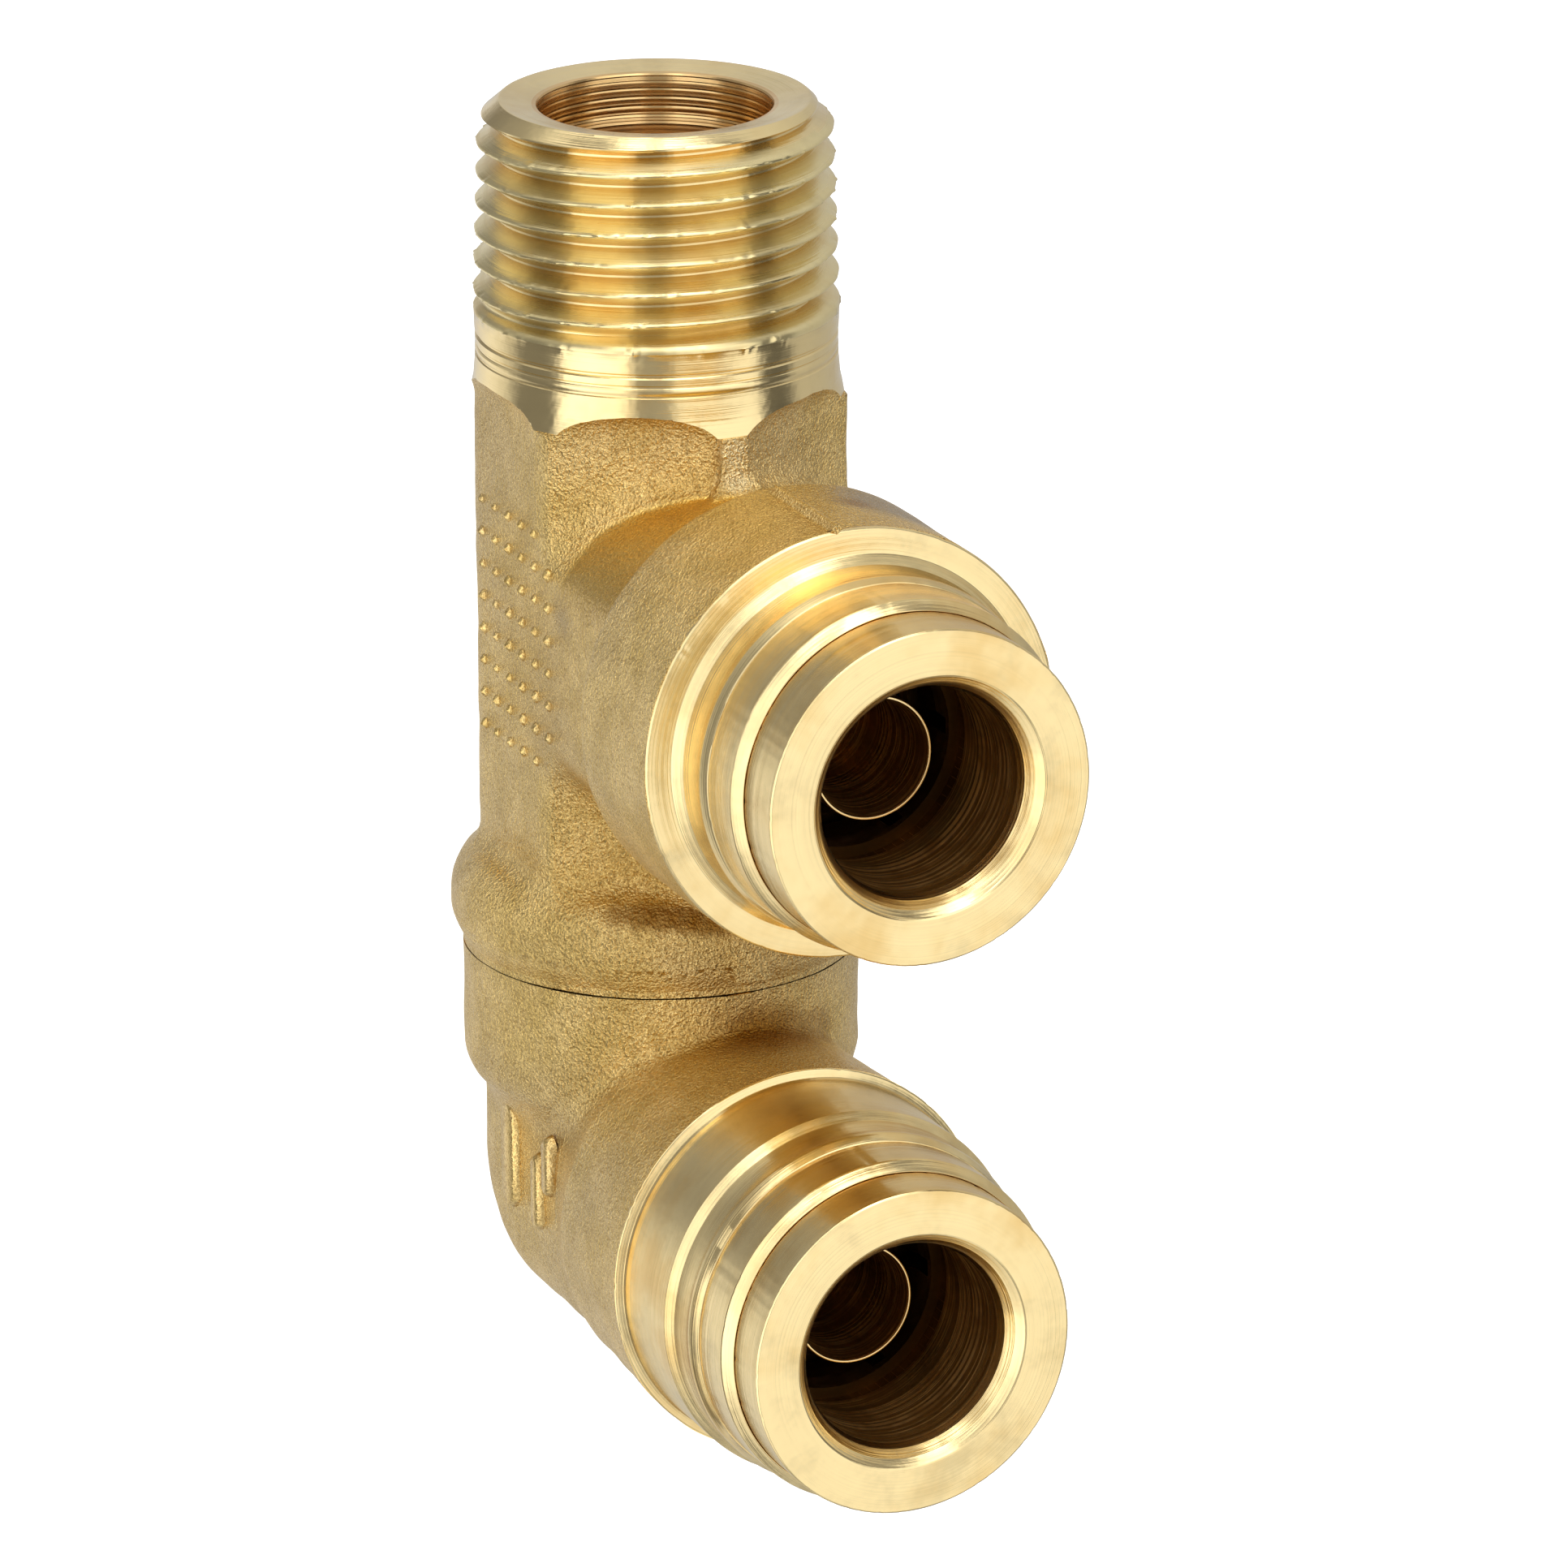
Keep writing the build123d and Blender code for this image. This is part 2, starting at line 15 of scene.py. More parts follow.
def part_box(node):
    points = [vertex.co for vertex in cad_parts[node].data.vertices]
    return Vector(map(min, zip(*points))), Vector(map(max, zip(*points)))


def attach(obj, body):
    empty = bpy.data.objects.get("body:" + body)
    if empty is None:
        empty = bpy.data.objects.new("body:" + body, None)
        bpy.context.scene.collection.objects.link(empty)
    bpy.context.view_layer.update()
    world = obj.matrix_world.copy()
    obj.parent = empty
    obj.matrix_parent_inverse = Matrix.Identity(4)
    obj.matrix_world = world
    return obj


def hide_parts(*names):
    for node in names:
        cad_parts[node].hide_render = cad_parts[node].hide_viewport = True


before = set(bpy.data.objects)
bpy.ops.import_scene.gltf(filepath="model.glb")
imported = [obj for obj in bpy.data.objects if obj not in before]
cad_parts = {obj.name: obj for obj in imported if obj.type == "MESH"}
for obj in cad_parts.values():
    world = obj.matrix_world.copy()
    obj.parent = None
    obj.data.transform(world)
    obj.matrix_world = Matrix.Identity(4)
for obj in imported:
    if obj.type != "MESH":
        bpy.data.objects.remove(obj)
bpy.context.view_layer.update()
MM = 0.001
RECESS_DEPTH = 1.2  # of the sleeve's rim in front of its inner face, which the button sinks into


# ---------------------------------------------------------------- stations read from the CAD frame

def cad_box(node):
    """Low and high corners of a CAD node's box, in millimetres."""
    low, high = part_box(node)
    return np.array(low) / MM, np.array(high) / MM


def port_stations(prefix):
    """Height, sleeve face, button front and tube support's ends of a port, as the CAD has them."""
    low, high = cad_box(f"{prefix}_retainer_sleeve")
    button_low, _ = cad_box(f"{prefix}_release_button")
    support_low, support_high = cad_box(f"{prefix}_tube_support")
    return {
        "prefix": prefix,
        "height": (low[2] + high[2]) / 2,
        "face": -low[1] - RECESS_DEPTH,
        "front": -button_low[1],
        "support_tip": -support_low[1],
        "support_foot": -support_high[1],
    }


UPPER = port_stations("upper")
LOWER = port_stations("lower")
ELBOW_TOP_Z = cad_box("lower_elbow")[1][2]
SEAM_Z = cad_box("upper_body")[0][2]
SNAP_LOW_Z, SNAP_HIGH_Z = (corner[2] for corner in cad_box("stem_retaining_ring"))
STEM_LOW_Z, STEM_TOP_Z = (corner[2] for corner in cad_box("swivel_stem"))
BOSS_R = cad_box("upper_body")[1][0]

# Pipe thread, 3/8-18 taper
PITCH = 25.4 / 18
TAPER = 1 / 32
CREST_END_R = 8.28
THREAD_DEPTH = 1.0
CHAMFER_Z = -1.0
THREAD_END_Z = -9.98
GROOVE_START_Z = -10.32
PIPE_BORE_R = 5.5
NECK_R = 8.54
SKIRT_TOP_Z = -12.4
SKIRT_FOOT_Z = -13.3

# Forgings
HALF_FLATS = 7.9
FRONT_CORNER_R = 8.98
REAR_CORNER_R = 8.62
STOCK_R = 9.2  # of the round stock above the hexagon's arches
VERTEX_REACH = 9.06  # of the strip along the hexagon's front corner
GROOVE_REACH = 8.76  # of the groove beside it
BOSS_NECK_X = 9.24  # half width and half height of the oval neck behind the upper boss
BOSS_NECK_Z = 8.3
BOSS_REAR = 14.3
BOSS_STEP = UPPER["face"] - 4.4
COLLAR_HEIGHT = 4.75
COLLAR_R = 10.0
SEAM_R = 9.45
BARREL_R = 8.65
ELBOW_COLLAR_END_Z = SEAM_Z - 6.0
LOWER_BOSS_R = 8.97
LOWER_SHOULDER_R = 9.42
LOWER_SHOULDER = 16.05
FLASH_BLEND = 0.12  # rounding where a flash line meets the skin
FAR_R = 60.0  # larger than anything here, where an outline puts no limit on the radius

# Push-in cartridge
SLEEVE_R = 8.0
RIM_R = 8.35
RECESS_R = 7.885
SLEEVE_SEAT_R = 8.4
SLEEVE_LENGTH = 9.0
NECK_BORE_R = 6.15
BUTTON_R = 7.87
BUTTON_NECK_R = 6.08
BUTTON_THICKNESS = 2.7
SKIRT_LAP = 0.25  # of the button's back into the rim's recess, so that no gap shows
TUBE_BORE_R = 4.85
SEAL_POCKET_R = 6.45
TUBE_SEAT = 15.7
PASSAGE_R = 3.4
SUPPORT_R = 2.95
SUPPORT_BORE_R = 2.6


# ---------------------------------------------------------------- fields

def smooth_max(a, b, width):
    """The larger of two fields, with the crease between them rounded over a width."""
    return np.maximum(a, b) + np.maximum(width - np.abs(a - b), 0) ** 2 / (4 * width)


def smooth_min(a, b, width):
    return -smooth_max(-a, -b, width)


def slab(value, low, high):
    """A field that is inside between two values."""
    return np.maximum(low - value, value - high)


def ripple(x, y, z, wavelength, seed):
    """Gentle unevenness, between about -1 and 1, from a few sine waves in seeded directions."""
    draw = np.random.default_rng(seed)
    total = 0
    for _ in range(6):
        wave = draw.normal(size=3)
        wave *= 2 * math.pi / (wavelength * draw.uniform(0.7, 1.5)) / np.linalg.norm(wave)
        along = wave[0] * x + wave[1] * y + wave[2] * z
        total = total + np.sin(along + draw.uniform(0, 2 * math.pi))
    return total / 3


def forged_skin(body, x, y, z, seed):
    """A forging's field with its broad and its fine unevenness."""
    return body + 0.03 * ripple(x, y, z, 5.0, seed) + 0.012 * ripple(x, y, z, 1.7, seed + 1)


def flash_strip(x, middle, half, rise, reach, z, low, high):
    """A flash line down the front of a collar: a strip as high as rise says, between two heights."""
    strip = smooth_max(np.abs(x - middle) - half, rise, 0.1)
    return np.maximum(np.maximum(strip, -reach), slab(z, low, high))


def profile_radius(z, points):
    """Radius at a height on a turned outline given as (height, radius) points with rising heights."""
    heights, radii = zip(*points)
    return np.interp(z, heights, radii)


def port_bore(radial, reach, face):
    """The stepped hollow of one port."""
    spacer_back = face - SLEEVE_LENGTH - 1
    hollow = np.maximum(radial - PASSAGE_R, -reach)
    hollow = np.minimum(hollow, np.maximum(radial - TUBE_BORE_R, face - TUBE_SEAT - reach))
    hollow = np.minimum(hollow, np.maximum(radial - SEAL_POCKET_R, spacer_back - 2 - reach))
    return np.minimum(hollow, np.maximum(radial - SLEEVE_SEAT_R, spacer_back - reach))


def upper_forging(x, y, z):
    """Hexagon, port neck, boss and swivel collar as forged, and the machined surfaces that cut them."""
    reach = -y
    radial = np.hypot(x, y)
    port_z = z - UPPER["height"]
    port_radial = np.hypot(x, port_z)
    # Hexagon's four slanting flats, under the round stock that the thread is cut from
    slant = 0.5 * np.abs(x) + math.cos(math.radians(30)) * np.abs(y)
    corner_r = np.interp(y, [-1, 1], [FRONT_CORNER_R, REAR_CORNER_R])
    hexagon = smooth_max(slant - HALF_FLATS, radial - corner_r, 0.12)
    cornering = np.abs(np.mod(np.degrees(np.arctan2(y, x)) + 30, 60) - 30) / 30
    foot = SKIRT_FOOT_Z + 0.35 - 0.42 * cornering**2
    stock = smooth_max(radial - STOCK_R, foot - z, 0.3)
    body = smooth_min(hexagon, stock, 1.3)
    ridge = smooth_max(np.abs(x) - 0.68, reach - VERTEX_REACH, 0.1)
    body = smooth_min(body, np.maximum(ridge, -reach), 0.04)
    groove = np.maximum(np.hypot(x + 0.82, reach - GROOVE_REACH) - 0.16, z + 14.3)
    body = smooth_max(body, -groove, 0.05)
    # Oval neck
    oval = (np.hypot(x / BOSS_NECK_X, port_z / BOSS_NECK_Z) - 1) * 8.6
    neck = np.maximum(oval, slab(reach, 0, BOSS_REAR + 1))
    body = smooth_min(body, neck, 1.7)
    # The side flats, then the side corners of the hexagon
    side = np.abs(x) - HALF_FLATS
    side_upper = smooth_min(side, np.maximum(radial - STOCK_R, foot - z), 1.2)
    body = smooth_max(body, side_upper, 0.35)
    # Boss
    rear_cone = (port_radial - BOSS_R) * 0.55 - (reach - BOSS_REAR) * 0.835
    boss = smooth_max(port_radial - BOSS_R, rear_cone, 0.3)
    boss = np.maximum(boss, reach - (BOSS_STEP - 0.12))
    body = smooth_min(body, boss, 0.45)
    flash = np.hypot(x + 0.75, port_radial - BOSS_R - 0.1) - 0.2
    flash = np.maximum(np.maximum(flash, slab(reach, BOSS_REAR + 0.8, BOSS_STEP)), -port_z)
    body = smooth_min(body, flash, FLASH_BLEND)
    # Collar
    collar = smooth_max(radial - COLLAR_R, z - (SEAM_Z + COLLAR_HEIGHT), 2.6)
    body = smooth_min(body, collar, 0.8)
    collar_foot = [(SEAM_Z + 0.3, SEAM_R), (SEAM_Z + 1.5, COLLAR_R + 0.1), (SEAM_Z + 1.9, FAR_R)]
    body = smooth_max(body, (radial - profile_radius(z, collar_foot)) * 0.9, 0.3)
    strip = flash_strip(x, 0.35, 0.9, radial - COLLAR_R - 0.1, reach, z, SEAM_Z + 0.7, SEAM_Z + 3.4)
    body = smooth_min(body, strip, FLASH_BLEND)
    forged = forged_skin(body, x, y, z, 11)
    # Turned skirt above, seam face below
    turned = profile_radius(z, [(-14.7, FAR_R), (-14.1, 8.8), (SKIRT_FOOT_Z, 8.62), (SKIRT_TOP_Z, NECK_R)])
    machined = np.maximum((radial - turned) * 0.97, z - (SKIRT_TOP_Z + 0.05))
    machined = np.maximum(machined, SEAM_Z - z)
    # Hollows
    swivel = np.maximum(radial - 6.6, z - (STEM_TOP_Z + 0.3))
    swivel = np.minimum(swivel, np.maximum(radial - 7.5, slab(z, SNAP_LOW_Z - 0.05, SNAP_HIGH_Z + 0.05)))
    swivel = np.minimum(swivel, np.maximum(radial - 8.4, z - (SEAM_Z + 0.8)))
    hollow = np.minimum(radial - PIPE_BORE_R, swivel)
    hollow = np.minimum(hollow, port_bore(port_radial, reach, UPPER["face"]))
    return forged, np.maximum(machined, -hollow)


def lower_forging(x, y, z):
    """Elbow: collar, flat-sided barrel and port neck as forged, and the machined surfaces that cut them."""
    reach = -y
    radial = np.hypot(x, y)
    port_z = z - LOWER["height"]
    port_radial = np.hypot(x, port_z)
    upright = np.maximum(radial - BARREL_R, -port_z)
    level = np.maximum(port_radial - BARREL_R, -reach)
    corner = np.sqrt(x * x + y * y + port_z * port_z) - BARREL_R
    body = np.minimum(np.minimum(upright, level), corner)
    body = smooth_max(body, np.abs(x) - HALF_FLATS, 1.2)
    collar_foot = (radial - SEAM_R) * 0.707 - (z - ELBOW_COLLAR_END_Z) * 0.707
    collar = smooth_max(radial - SEAM_R, collar_foot, 0.6)
    body = smooth_min(body, collar, 1.0)
    neck_start = 6.0
    cone_r = np.interp(reach, [neck_start, 8.4, LOWER_SHOULDER], [7.8, 8.85, LOWER_SHOULDER_R])
    neck = np.maximum((port_radial - cone_r) * 0.97, neck_start - reach)
    body = smooth_min(body, neck, 0.9)
    strip = flash_strip(x, -0.2, 0.75, radial - SEAM_R - 0.08, reach, z, ELBOW_COLLAR_END_Z, ELBOW_TOP_Z)
    body = smooth_min(body, strip, FLASH_BLEND)
    forged = forged_skin(body, x, y, z, 21)
    machined = np.maximum(z - (SEAM_Z - 0.07), reach - (LOWER_SHOULDER - 0.05))
    stem_seat = np.maximum(radial - 6.55, STEM_LOW_Z - z)
    crossing = np.maximum(radial - 4.6, LOWER["height"] - 1.2 - z)
    hollow = np.minimum(stem_seat, crossing)
    hollow = np.minimum(hollow, port_bore(port_radial, reach, LOWER["face"]))
    return forged, np.maximum(machined, -hollow)


# ---------------------------------------------------------------- meshes

GRADIENT_STEP = 0.01
STIFFNESS = 0.03  # how strongly a vertex is held to the middle of its cell's crossings
CELL_MARGIN = 0.05  # how far a vertex may leave its cell, as a share of the cell
LOOP_PULL = 0.35  # how far from a corner, towards its face's middle, the corner's normal is taken


def gradient(field, points):
    """Unit normals of a field at (n, 3) points."""
    slopes = []
    for axis in range(3):
        shift = np.zeros(3)
        shift[axis] = GRADIENT_STEP
        slopes.append(field(*(points + shift).T) - field(*(points - shift).T))
    normals = np.stack(slopes, axis=1)
    return normals / np.maximum(np.linalg.norm(normals, axis=1, keepdims=True), 1e-12)


def crossings(field, start, axis, cell, start_inside):
    """Where the surface cuts grid edges that begin at start and run along axis, by bisection."""
    low = np.zeros(len(start))
    high = np.full(len(start), cell)
    point = start.copy()
    for _ in range(9):
        middle = (low + high) / 2
        point[:, axis] = start[:, axis] + middle
        same = (field(*point.T) < 0) == start_inside
        low = np.where(same, middle, low)
        high = np.where(same, high, middle)
    point[:, axis] = start[:, axis] + (low + high) / 2
    return point


def contour(field, low, high, cell):
    """Vertices and quads of a field's zero surface, by dual contouring, which keeps its creases sharp."""
    low = np.array(low, float)
    counts = np.ceil((np.array(high) - low) / cell).astype(int) + 1
    axes = [low[i] + cell * np.arange(counts[i]) for i in range(3)]
    inside = np.empty(counts, bool)
    for i, x in enumerate(axes[0]):
        y, z = np.meshgrid(axes[1], axes[2], indexing="ij")
        inside[i] = field(np.full_like(y, x), y, z) < 0
    cells, points, quads = [], [], []
    for axis in range(3):
        ahead = [slice(None)] * 3
        behind = [slice(None)] * 3
        ahead[axis] = slice(1, None)
        behind[axis] = slice(None, -1)
        edges = np.argwhere(inside[tuple(behind)] != inside[tuple(ahead)])
        start_inside = inside[tuple(edges.T)]
        cut = crossings(field, low + cell * edges, axis, cell, start_inside)
        u, v = (axis + 1) % 3, (axis + 2) % 3
        corners = []
        for du, dv in ((-1, -1), (0, -1), (0, 0), (-1, 0)):
            neighbour = edges.copy()
            neighbour[:, u] += du
            neighbour[:, v] += dv
            corners.append(np.ravel_multi_index(neighbour.T, counts))
        quad = np.stack(corners, axis=1)
        cells.append(quad.ravel())
        points.append(np.repeat(cut, 4, axis=0))
        quads.append(np.where(start_inside[:, None], quad, quad[:, ::-1]))
    cells = np.concatenate(cells)
    points = np.concatenate(points)
    ids, index = np.unique(cells, return_inverse=True)
    normals = gradient(field, points)

    def gathered(values):
        return np.bincount(index, values, len(ids))

    number = gathered(np.ones(len(points)))
    mass = np.stack([gathered(points[:, i]) for i in range(3)], axis=1) / number[:, None]
    offset = np.einsum("ij,ij->i", normals, points - mass[index])
    matrix = np.empty((len(ids), 3, 3))
    right = np.empty((len(ids), 3))
    for i in range(3):
        right[:, i] = gathered(normals[:, i] * offset)
        for j in range(3):
            matrix[:, i, j] = gathered(normals[:, i] * normals[:, j])
    matrix += STIFFNESS * np.eye(3)
    moved = np.linalg.solve(matrix, right[:, :, None])[:, :, 0]
    corner = low + cell * np.stack(np.unravel_index(ids, counts), axis=1)
    vertices = np.clip(mass + moved, corner - CELL_MARGIN * cell, corner + (1 + CELL_MARGIN) * cell)
    faces = np.searchsorted(ids, np.concatenate(quads))
    return vertices, faces


def make_object(name, vertices, faces, materials):
    """A Blender mesh object from millimetre vertices and quads."""
    mesh = bpy.data.meshes.new(name)
    mesh.vertices.add(len(vertices))
    mesh.vertices.foreach_set("co", (np.asarray(vertices) * MM).astype(np.float32).ravel())
    faces = np.asarray(faces)
    mesh.loops.add(faces.size)
    mesh.loops.foreach_set("vertex_index", faces.ravel().astype(np.int32))
    mesh.polygons.add(len(faces))
    mesh.polygons.foreach_set("loop_start", (np.arange(len(faces)) * faces.shape[1]).astype(np.int32))
    mesh.polygons.foreach_set("use_smooth", np.ones(len(faces), bool))
    mesh.update(calc_edges=True)
    mesh.validate()
    piece = bpy.data.objects.new(name, mesh)
    bpy.context.scene.collection.objects.link(piece)
    for material in materials:
        mesh.materials.append(material)
    return piece


def field_object(name, parts, low, high, cell, materials):
    """Mesh of a forged field cut by a machined one, with a material for each and the fields' own normals."""

    def field(x, y, z):
        forged, machined = parts(x, y, z)
        return np.maximum(forged, machined)

    vertices, faces = contour(field, low, high, cell)
    piece = make_object(name, vertices, faces, materials)
    mesh = piece.data
    loop_vertex = np.empty(len(mesh.loops), np.int32)
    mesh.loops.foreach_get("vertex_index", loop_vertex)
    placed = np.empty(len(mesh.vertices) * 3, np.float32)
    mesh.vertices.foreach_get("co", placed)
    corners = (placed.reshape(-1, 3)[loop_vertex] / MM).astype(float)
    middles = corners.reshape(-1, 4, 3).mean(axis=1)
    normals = gradient(field, corners + LOOP_PULL * (np.repeat(middles, 4, axis=0) - corners))
    forged, machined = parts(*middles.T)
    mesh.polygons.foreach_set("material_index", (machined > forged).astype(np.int32))
    mesh.normals_split_custom_set(normals.tolist())
    return piece


def rounded(profile, radius, steps=3):
    """A closed outline with its corners rounded, each by the radius or what its edges allow."""
    profile = [np.array(point, float) for point in profile]
    made = []
    for i, point in enumerate(profile):
        before = profile[i - 1] - point
        after = profile[(i + 1) % len(profile)] - point
        lengths = np.linalg.norm(before), np.linalg.norm(after)
        before, after = before / lengths[0], after / lengths[1]
        turn = math.pi - math.acos(np.clip(before @ after, -1, 1))
        if turn < math.radians(12):
            made.append(point)
            continue
        back = min(radius * math.tan(turn / 2), 0.45 * min(lengths))
        for share in np.linspace(0, 1, steps + 1):
            first = point + before * back * (1 - share)
            second = point + after * back * share
            made.append(first * (1 - share) + second * share)
    return made


def wear(angles, seed, amount):
    """Nicks round a circle: mostly none, here and there up to the amount."""
    draw = np.random.default_rng(seed)
    total = np.zeros_like(angles)
    for _ in range(14):
        total += draw.uniform(0.3, 1) * np.sin(draw.integers(5, 90) * angles + draw.uniform(0, 2 * math.pi))
    return amount * np.clip(total / 5 - 0.35, 0, 1)


def ring_quads(rings, columns, closed):
    """Quads between rings of points, the last joined to the first; closed joins the two ends of each ring."""
    i, j = np.meshgrid(np.arange(rings), np.arange(columns if closed else columns - 1), indexing="ij")
    next_i, next_j = (i + 1) % rings, (j + 1) % columns
    corners = [i * columns + j, i * columns + next_j, next_i * columns + next_j, next_i * columns + j]
    return np.stack(corners, axis=2).reshape(-1, 4)


def lathe(name, profile, materials, height, segments=288, nicks=0.0, seed=1, second=None):
    """A closed turned piece from (radius, station) points, round the axis of a port at a height.

    Nicks wear its outermost edges. Where second(radius, station) is true, its faces take the second material.
    """
    profile = np.array(profile)
    angles = np.linspace(0, 2 * math.pi, segments, endpoint=False)
    radius = np.repeat(profile[:, :1], segments, axis=1)
    station = np.repeat(profile[:, 1:], segments, axis=1)
    if nicks:
        edge = profile[:, 0] > profile[:, 0].max() - 0.12
        radius[edge] -= wear(angles, seed, nicks)
        mouth = profile[:, 1] > profile[:, 1].max() - 0.03
        radius[mouth] += 0.3 * nicks * np.sin(7 * angles + seed) * np.sin(3 * angles)
    points = np.stack([radius * np.cos(angles), -station, height + radius * np.sin(angles)], axis=2)
    faces = ring_quads(len(profile), segments, closed=True)
    following = np.roll(profile, -1, axis=0)
    clockwise = np.sum(profile[:, 0] * following[:, 1] - following[:, 0] * profile[:, 1]) < 0
    if clockwise:
        faces = faces[:, ::-1]
    piece = make_object(name, points.reshape(-1, 3), faces, materials)
    if second:
        middles = (profile + following) / 2
        chosen = np.array([second(r, s) for r, s in middles], dtype=np.int32)
        piece.data.polygons.foreach_set("material_index", np.repeat(chosen, segments))
    piece.data.set_sharp_from_angle(angle=math.radians(38))
    return piece


def thread_radius(angle, z):
    """Outside radius of the threaded end at an angle and a height: helical groove, run-out, end chamfer."""
    turn = (z - GROOVE_START_Z) / PITCH - angle / (2 * math.pi)
    along = 2 * math.pi * np.floor(turn + 0.5) + angle
    off_centre = np.abs(turn - np.round(turn)) * PITCH
    depth = THREAD_DEPTH - np.maximum(off_centre - 0.05, 0) / math.tan(math.radians(30))
    depth = smooth_max(depth, -0.02, 0.14)
    run_out = np.clip((z - THREAD_END_Z) / 0.9, 0, 1)
    depth = depth * run_out * run_out * (3 - 2 * run_out)
    # Crests are worn here and there and carry small burrs, at rates that don't repeat from turn to turn
    crest = CREST_END_R - TAPER * z
    near_crest = np.clip(1 - depth / 0.35, 0, 1)
    worn = wear(0.937 * along, 7, 0.09) + 0.012 * np.sin(23 * along)
    burr = 0.24 * np.clip(np.sin(37.3 * along) * np.sin(11.7 * along) * np.sin(3.4 * along) - 0.6, 0, 1)
    outside = crest - depth - near_crest * (worn - burr)
    chamfer = np.interp(z, [CHAMFER_Z, -0.68, 0.0], [8.32, 8.1, 7.3])
    return np.where(z > CHAMFER_Z, smooth_min(outside, chamfer, 0.05), outside)


def threaded_end(materials):
    """The pipe thread, its end face, the top of the bore and the plain neck below, as one closed piece."""
    segments = 320
    angles = np.linspace(0, 2 * math.pi, segments + 1)
    rings = []

    def ring(radius, z):
        rings.append((np.full_like(angles, radius), np.full_like(angles, z)))

    foot = SKIRT_TOP_Z - 0.6
    for radius, z in (
        (PIPE_BORE_R, foot),
        (NECK_R - 0.3, foot),
        (NECK_R - 0.3, SKIRT_TOP_Z - 0.15),
        (NECK_R + 0.004, SKIRT_TOP_Z - 0.02),
        (NECK_R - 0.01, SKIRT_TOP_Z + 0.1),
        (NECK_R - 0.01, -12.12),
        (NECK_R - 0.07, -12.07),
        (NECK_R - 0.07, -11.98),
        (NECK_R - 0.01, -11.9),
        (NECK_R - 0.02, -11.7),
        (NECK_R - 0.08, -11.63),
        (NECK_R - 0.08, -11.55),
        (NECK_R - 0.02, -11.48),
        (NECK_R - 0.02, -11.2),
        (NECK_R - 0.12, -11.1),
        (NECK_R - 0.12, -11.02),
        (NECK_R, -10.92),
        (NECK_R + 0.02, -10.4),
        (NECK_R + 0.03, THREAD_END_Z - 0.05),
    ):
        ring(radius, z)
    half_pitch = [0, 0.035, 0.09, 0.16, 0.24, 0.31, 0.37, 0.415, 0.445, 0.472]
    shares = sorted([-share for share in half_pitch[1:]] + half_pitch + [0.5])
    first = math.floor((THREAD_END_Z - GROOVE_START_Z) / PITCH) - 1
    last = math.ceil(-GROOVE_START_Z / PITCH)
    for turn in range(first, last + 1):
        for share in shares:
            z = GROOVE_START_Z + PITCH * (turn + share + angles / (2 * math.pi))
            z = np.clip(z, THREAD_END_Z, 0)
            rings.append((thread_radius(angles, z), z))
    for radius, z in ((7.24, 0.01), (7.1, -0.01), (6.4, -0.12), (5.75, -0.23), (PIPE_BORE_R + 0.05, -0.27)):
        ring(radius, z)
    # Turning marks in the bore
    draw = np.random.default_rng(5)
    z = -0.36
    while z > -9.0:
        depth = draw.uniform(0.015, 0.045)
        width = draw.uniform(0.14, 0.26)
        ring(PIPE_BORE_R, z)
        ring(PIPE_BORE_R + depth, z - 0.3 * width)
        ring(PIPE_BORE_R + 0.4 * depth, z - 0.7 * width)
        z -= width
    radius = np.array([r for r, _ in rings])
    height = np.array([h for _, h in rings])
    points = np.stack([radius * np.cos(angles), radius * np.sin(angles), height], axis=2)
    faces = ring_quads(*radius.shape, closed=False)
    piece = make_object("pipe_thread", points.reshape(-1, 3), faces, materials)
    middle_r = ((radius + np.roll(radius, -1, axis=0)) / 2)[:, :-1]
    middle_z = ((height + np.roll(height, -1, axis=0)) / 2)[:, :-1]
    in_bore = middle_r < PIPE_BORE_R + 0.2
    on_thread = (middle_r > 7) & (middle_z > THREAD_END_Z) & (middle_z < CHAMFER_Z)
    finish = np.where(in_bore, 1, np.where(on_thread, 2, 0)).astype(np.int32).ravel()
    piece.data.polygons.foreach_set("material_index", finish)
    weld(piece)
    piece.data.set_sharp_from_angle(angle=math.radians(40))
    return piece


def weld(piece):
    """Joins coincident vertices and drops faces with no area."""
    mesh = bmesh.new()
    mesh.from_mesh(piece.data)
    bmesh.ops.remove_doubles(mesh, verts=mesh.verts, dist=2e-7)
    bmesh.ops.dissolve_degenerate(mesh, edges=mesh.edges, dist=1e-7)
    mesh.to_mesh(piece.data)
    mesh.free()
    piece.data.polygons.foreach_set("use_smooth", np.ones(len(piece.data.polygons), bool))


# ---------------------------------------------------------------- materials

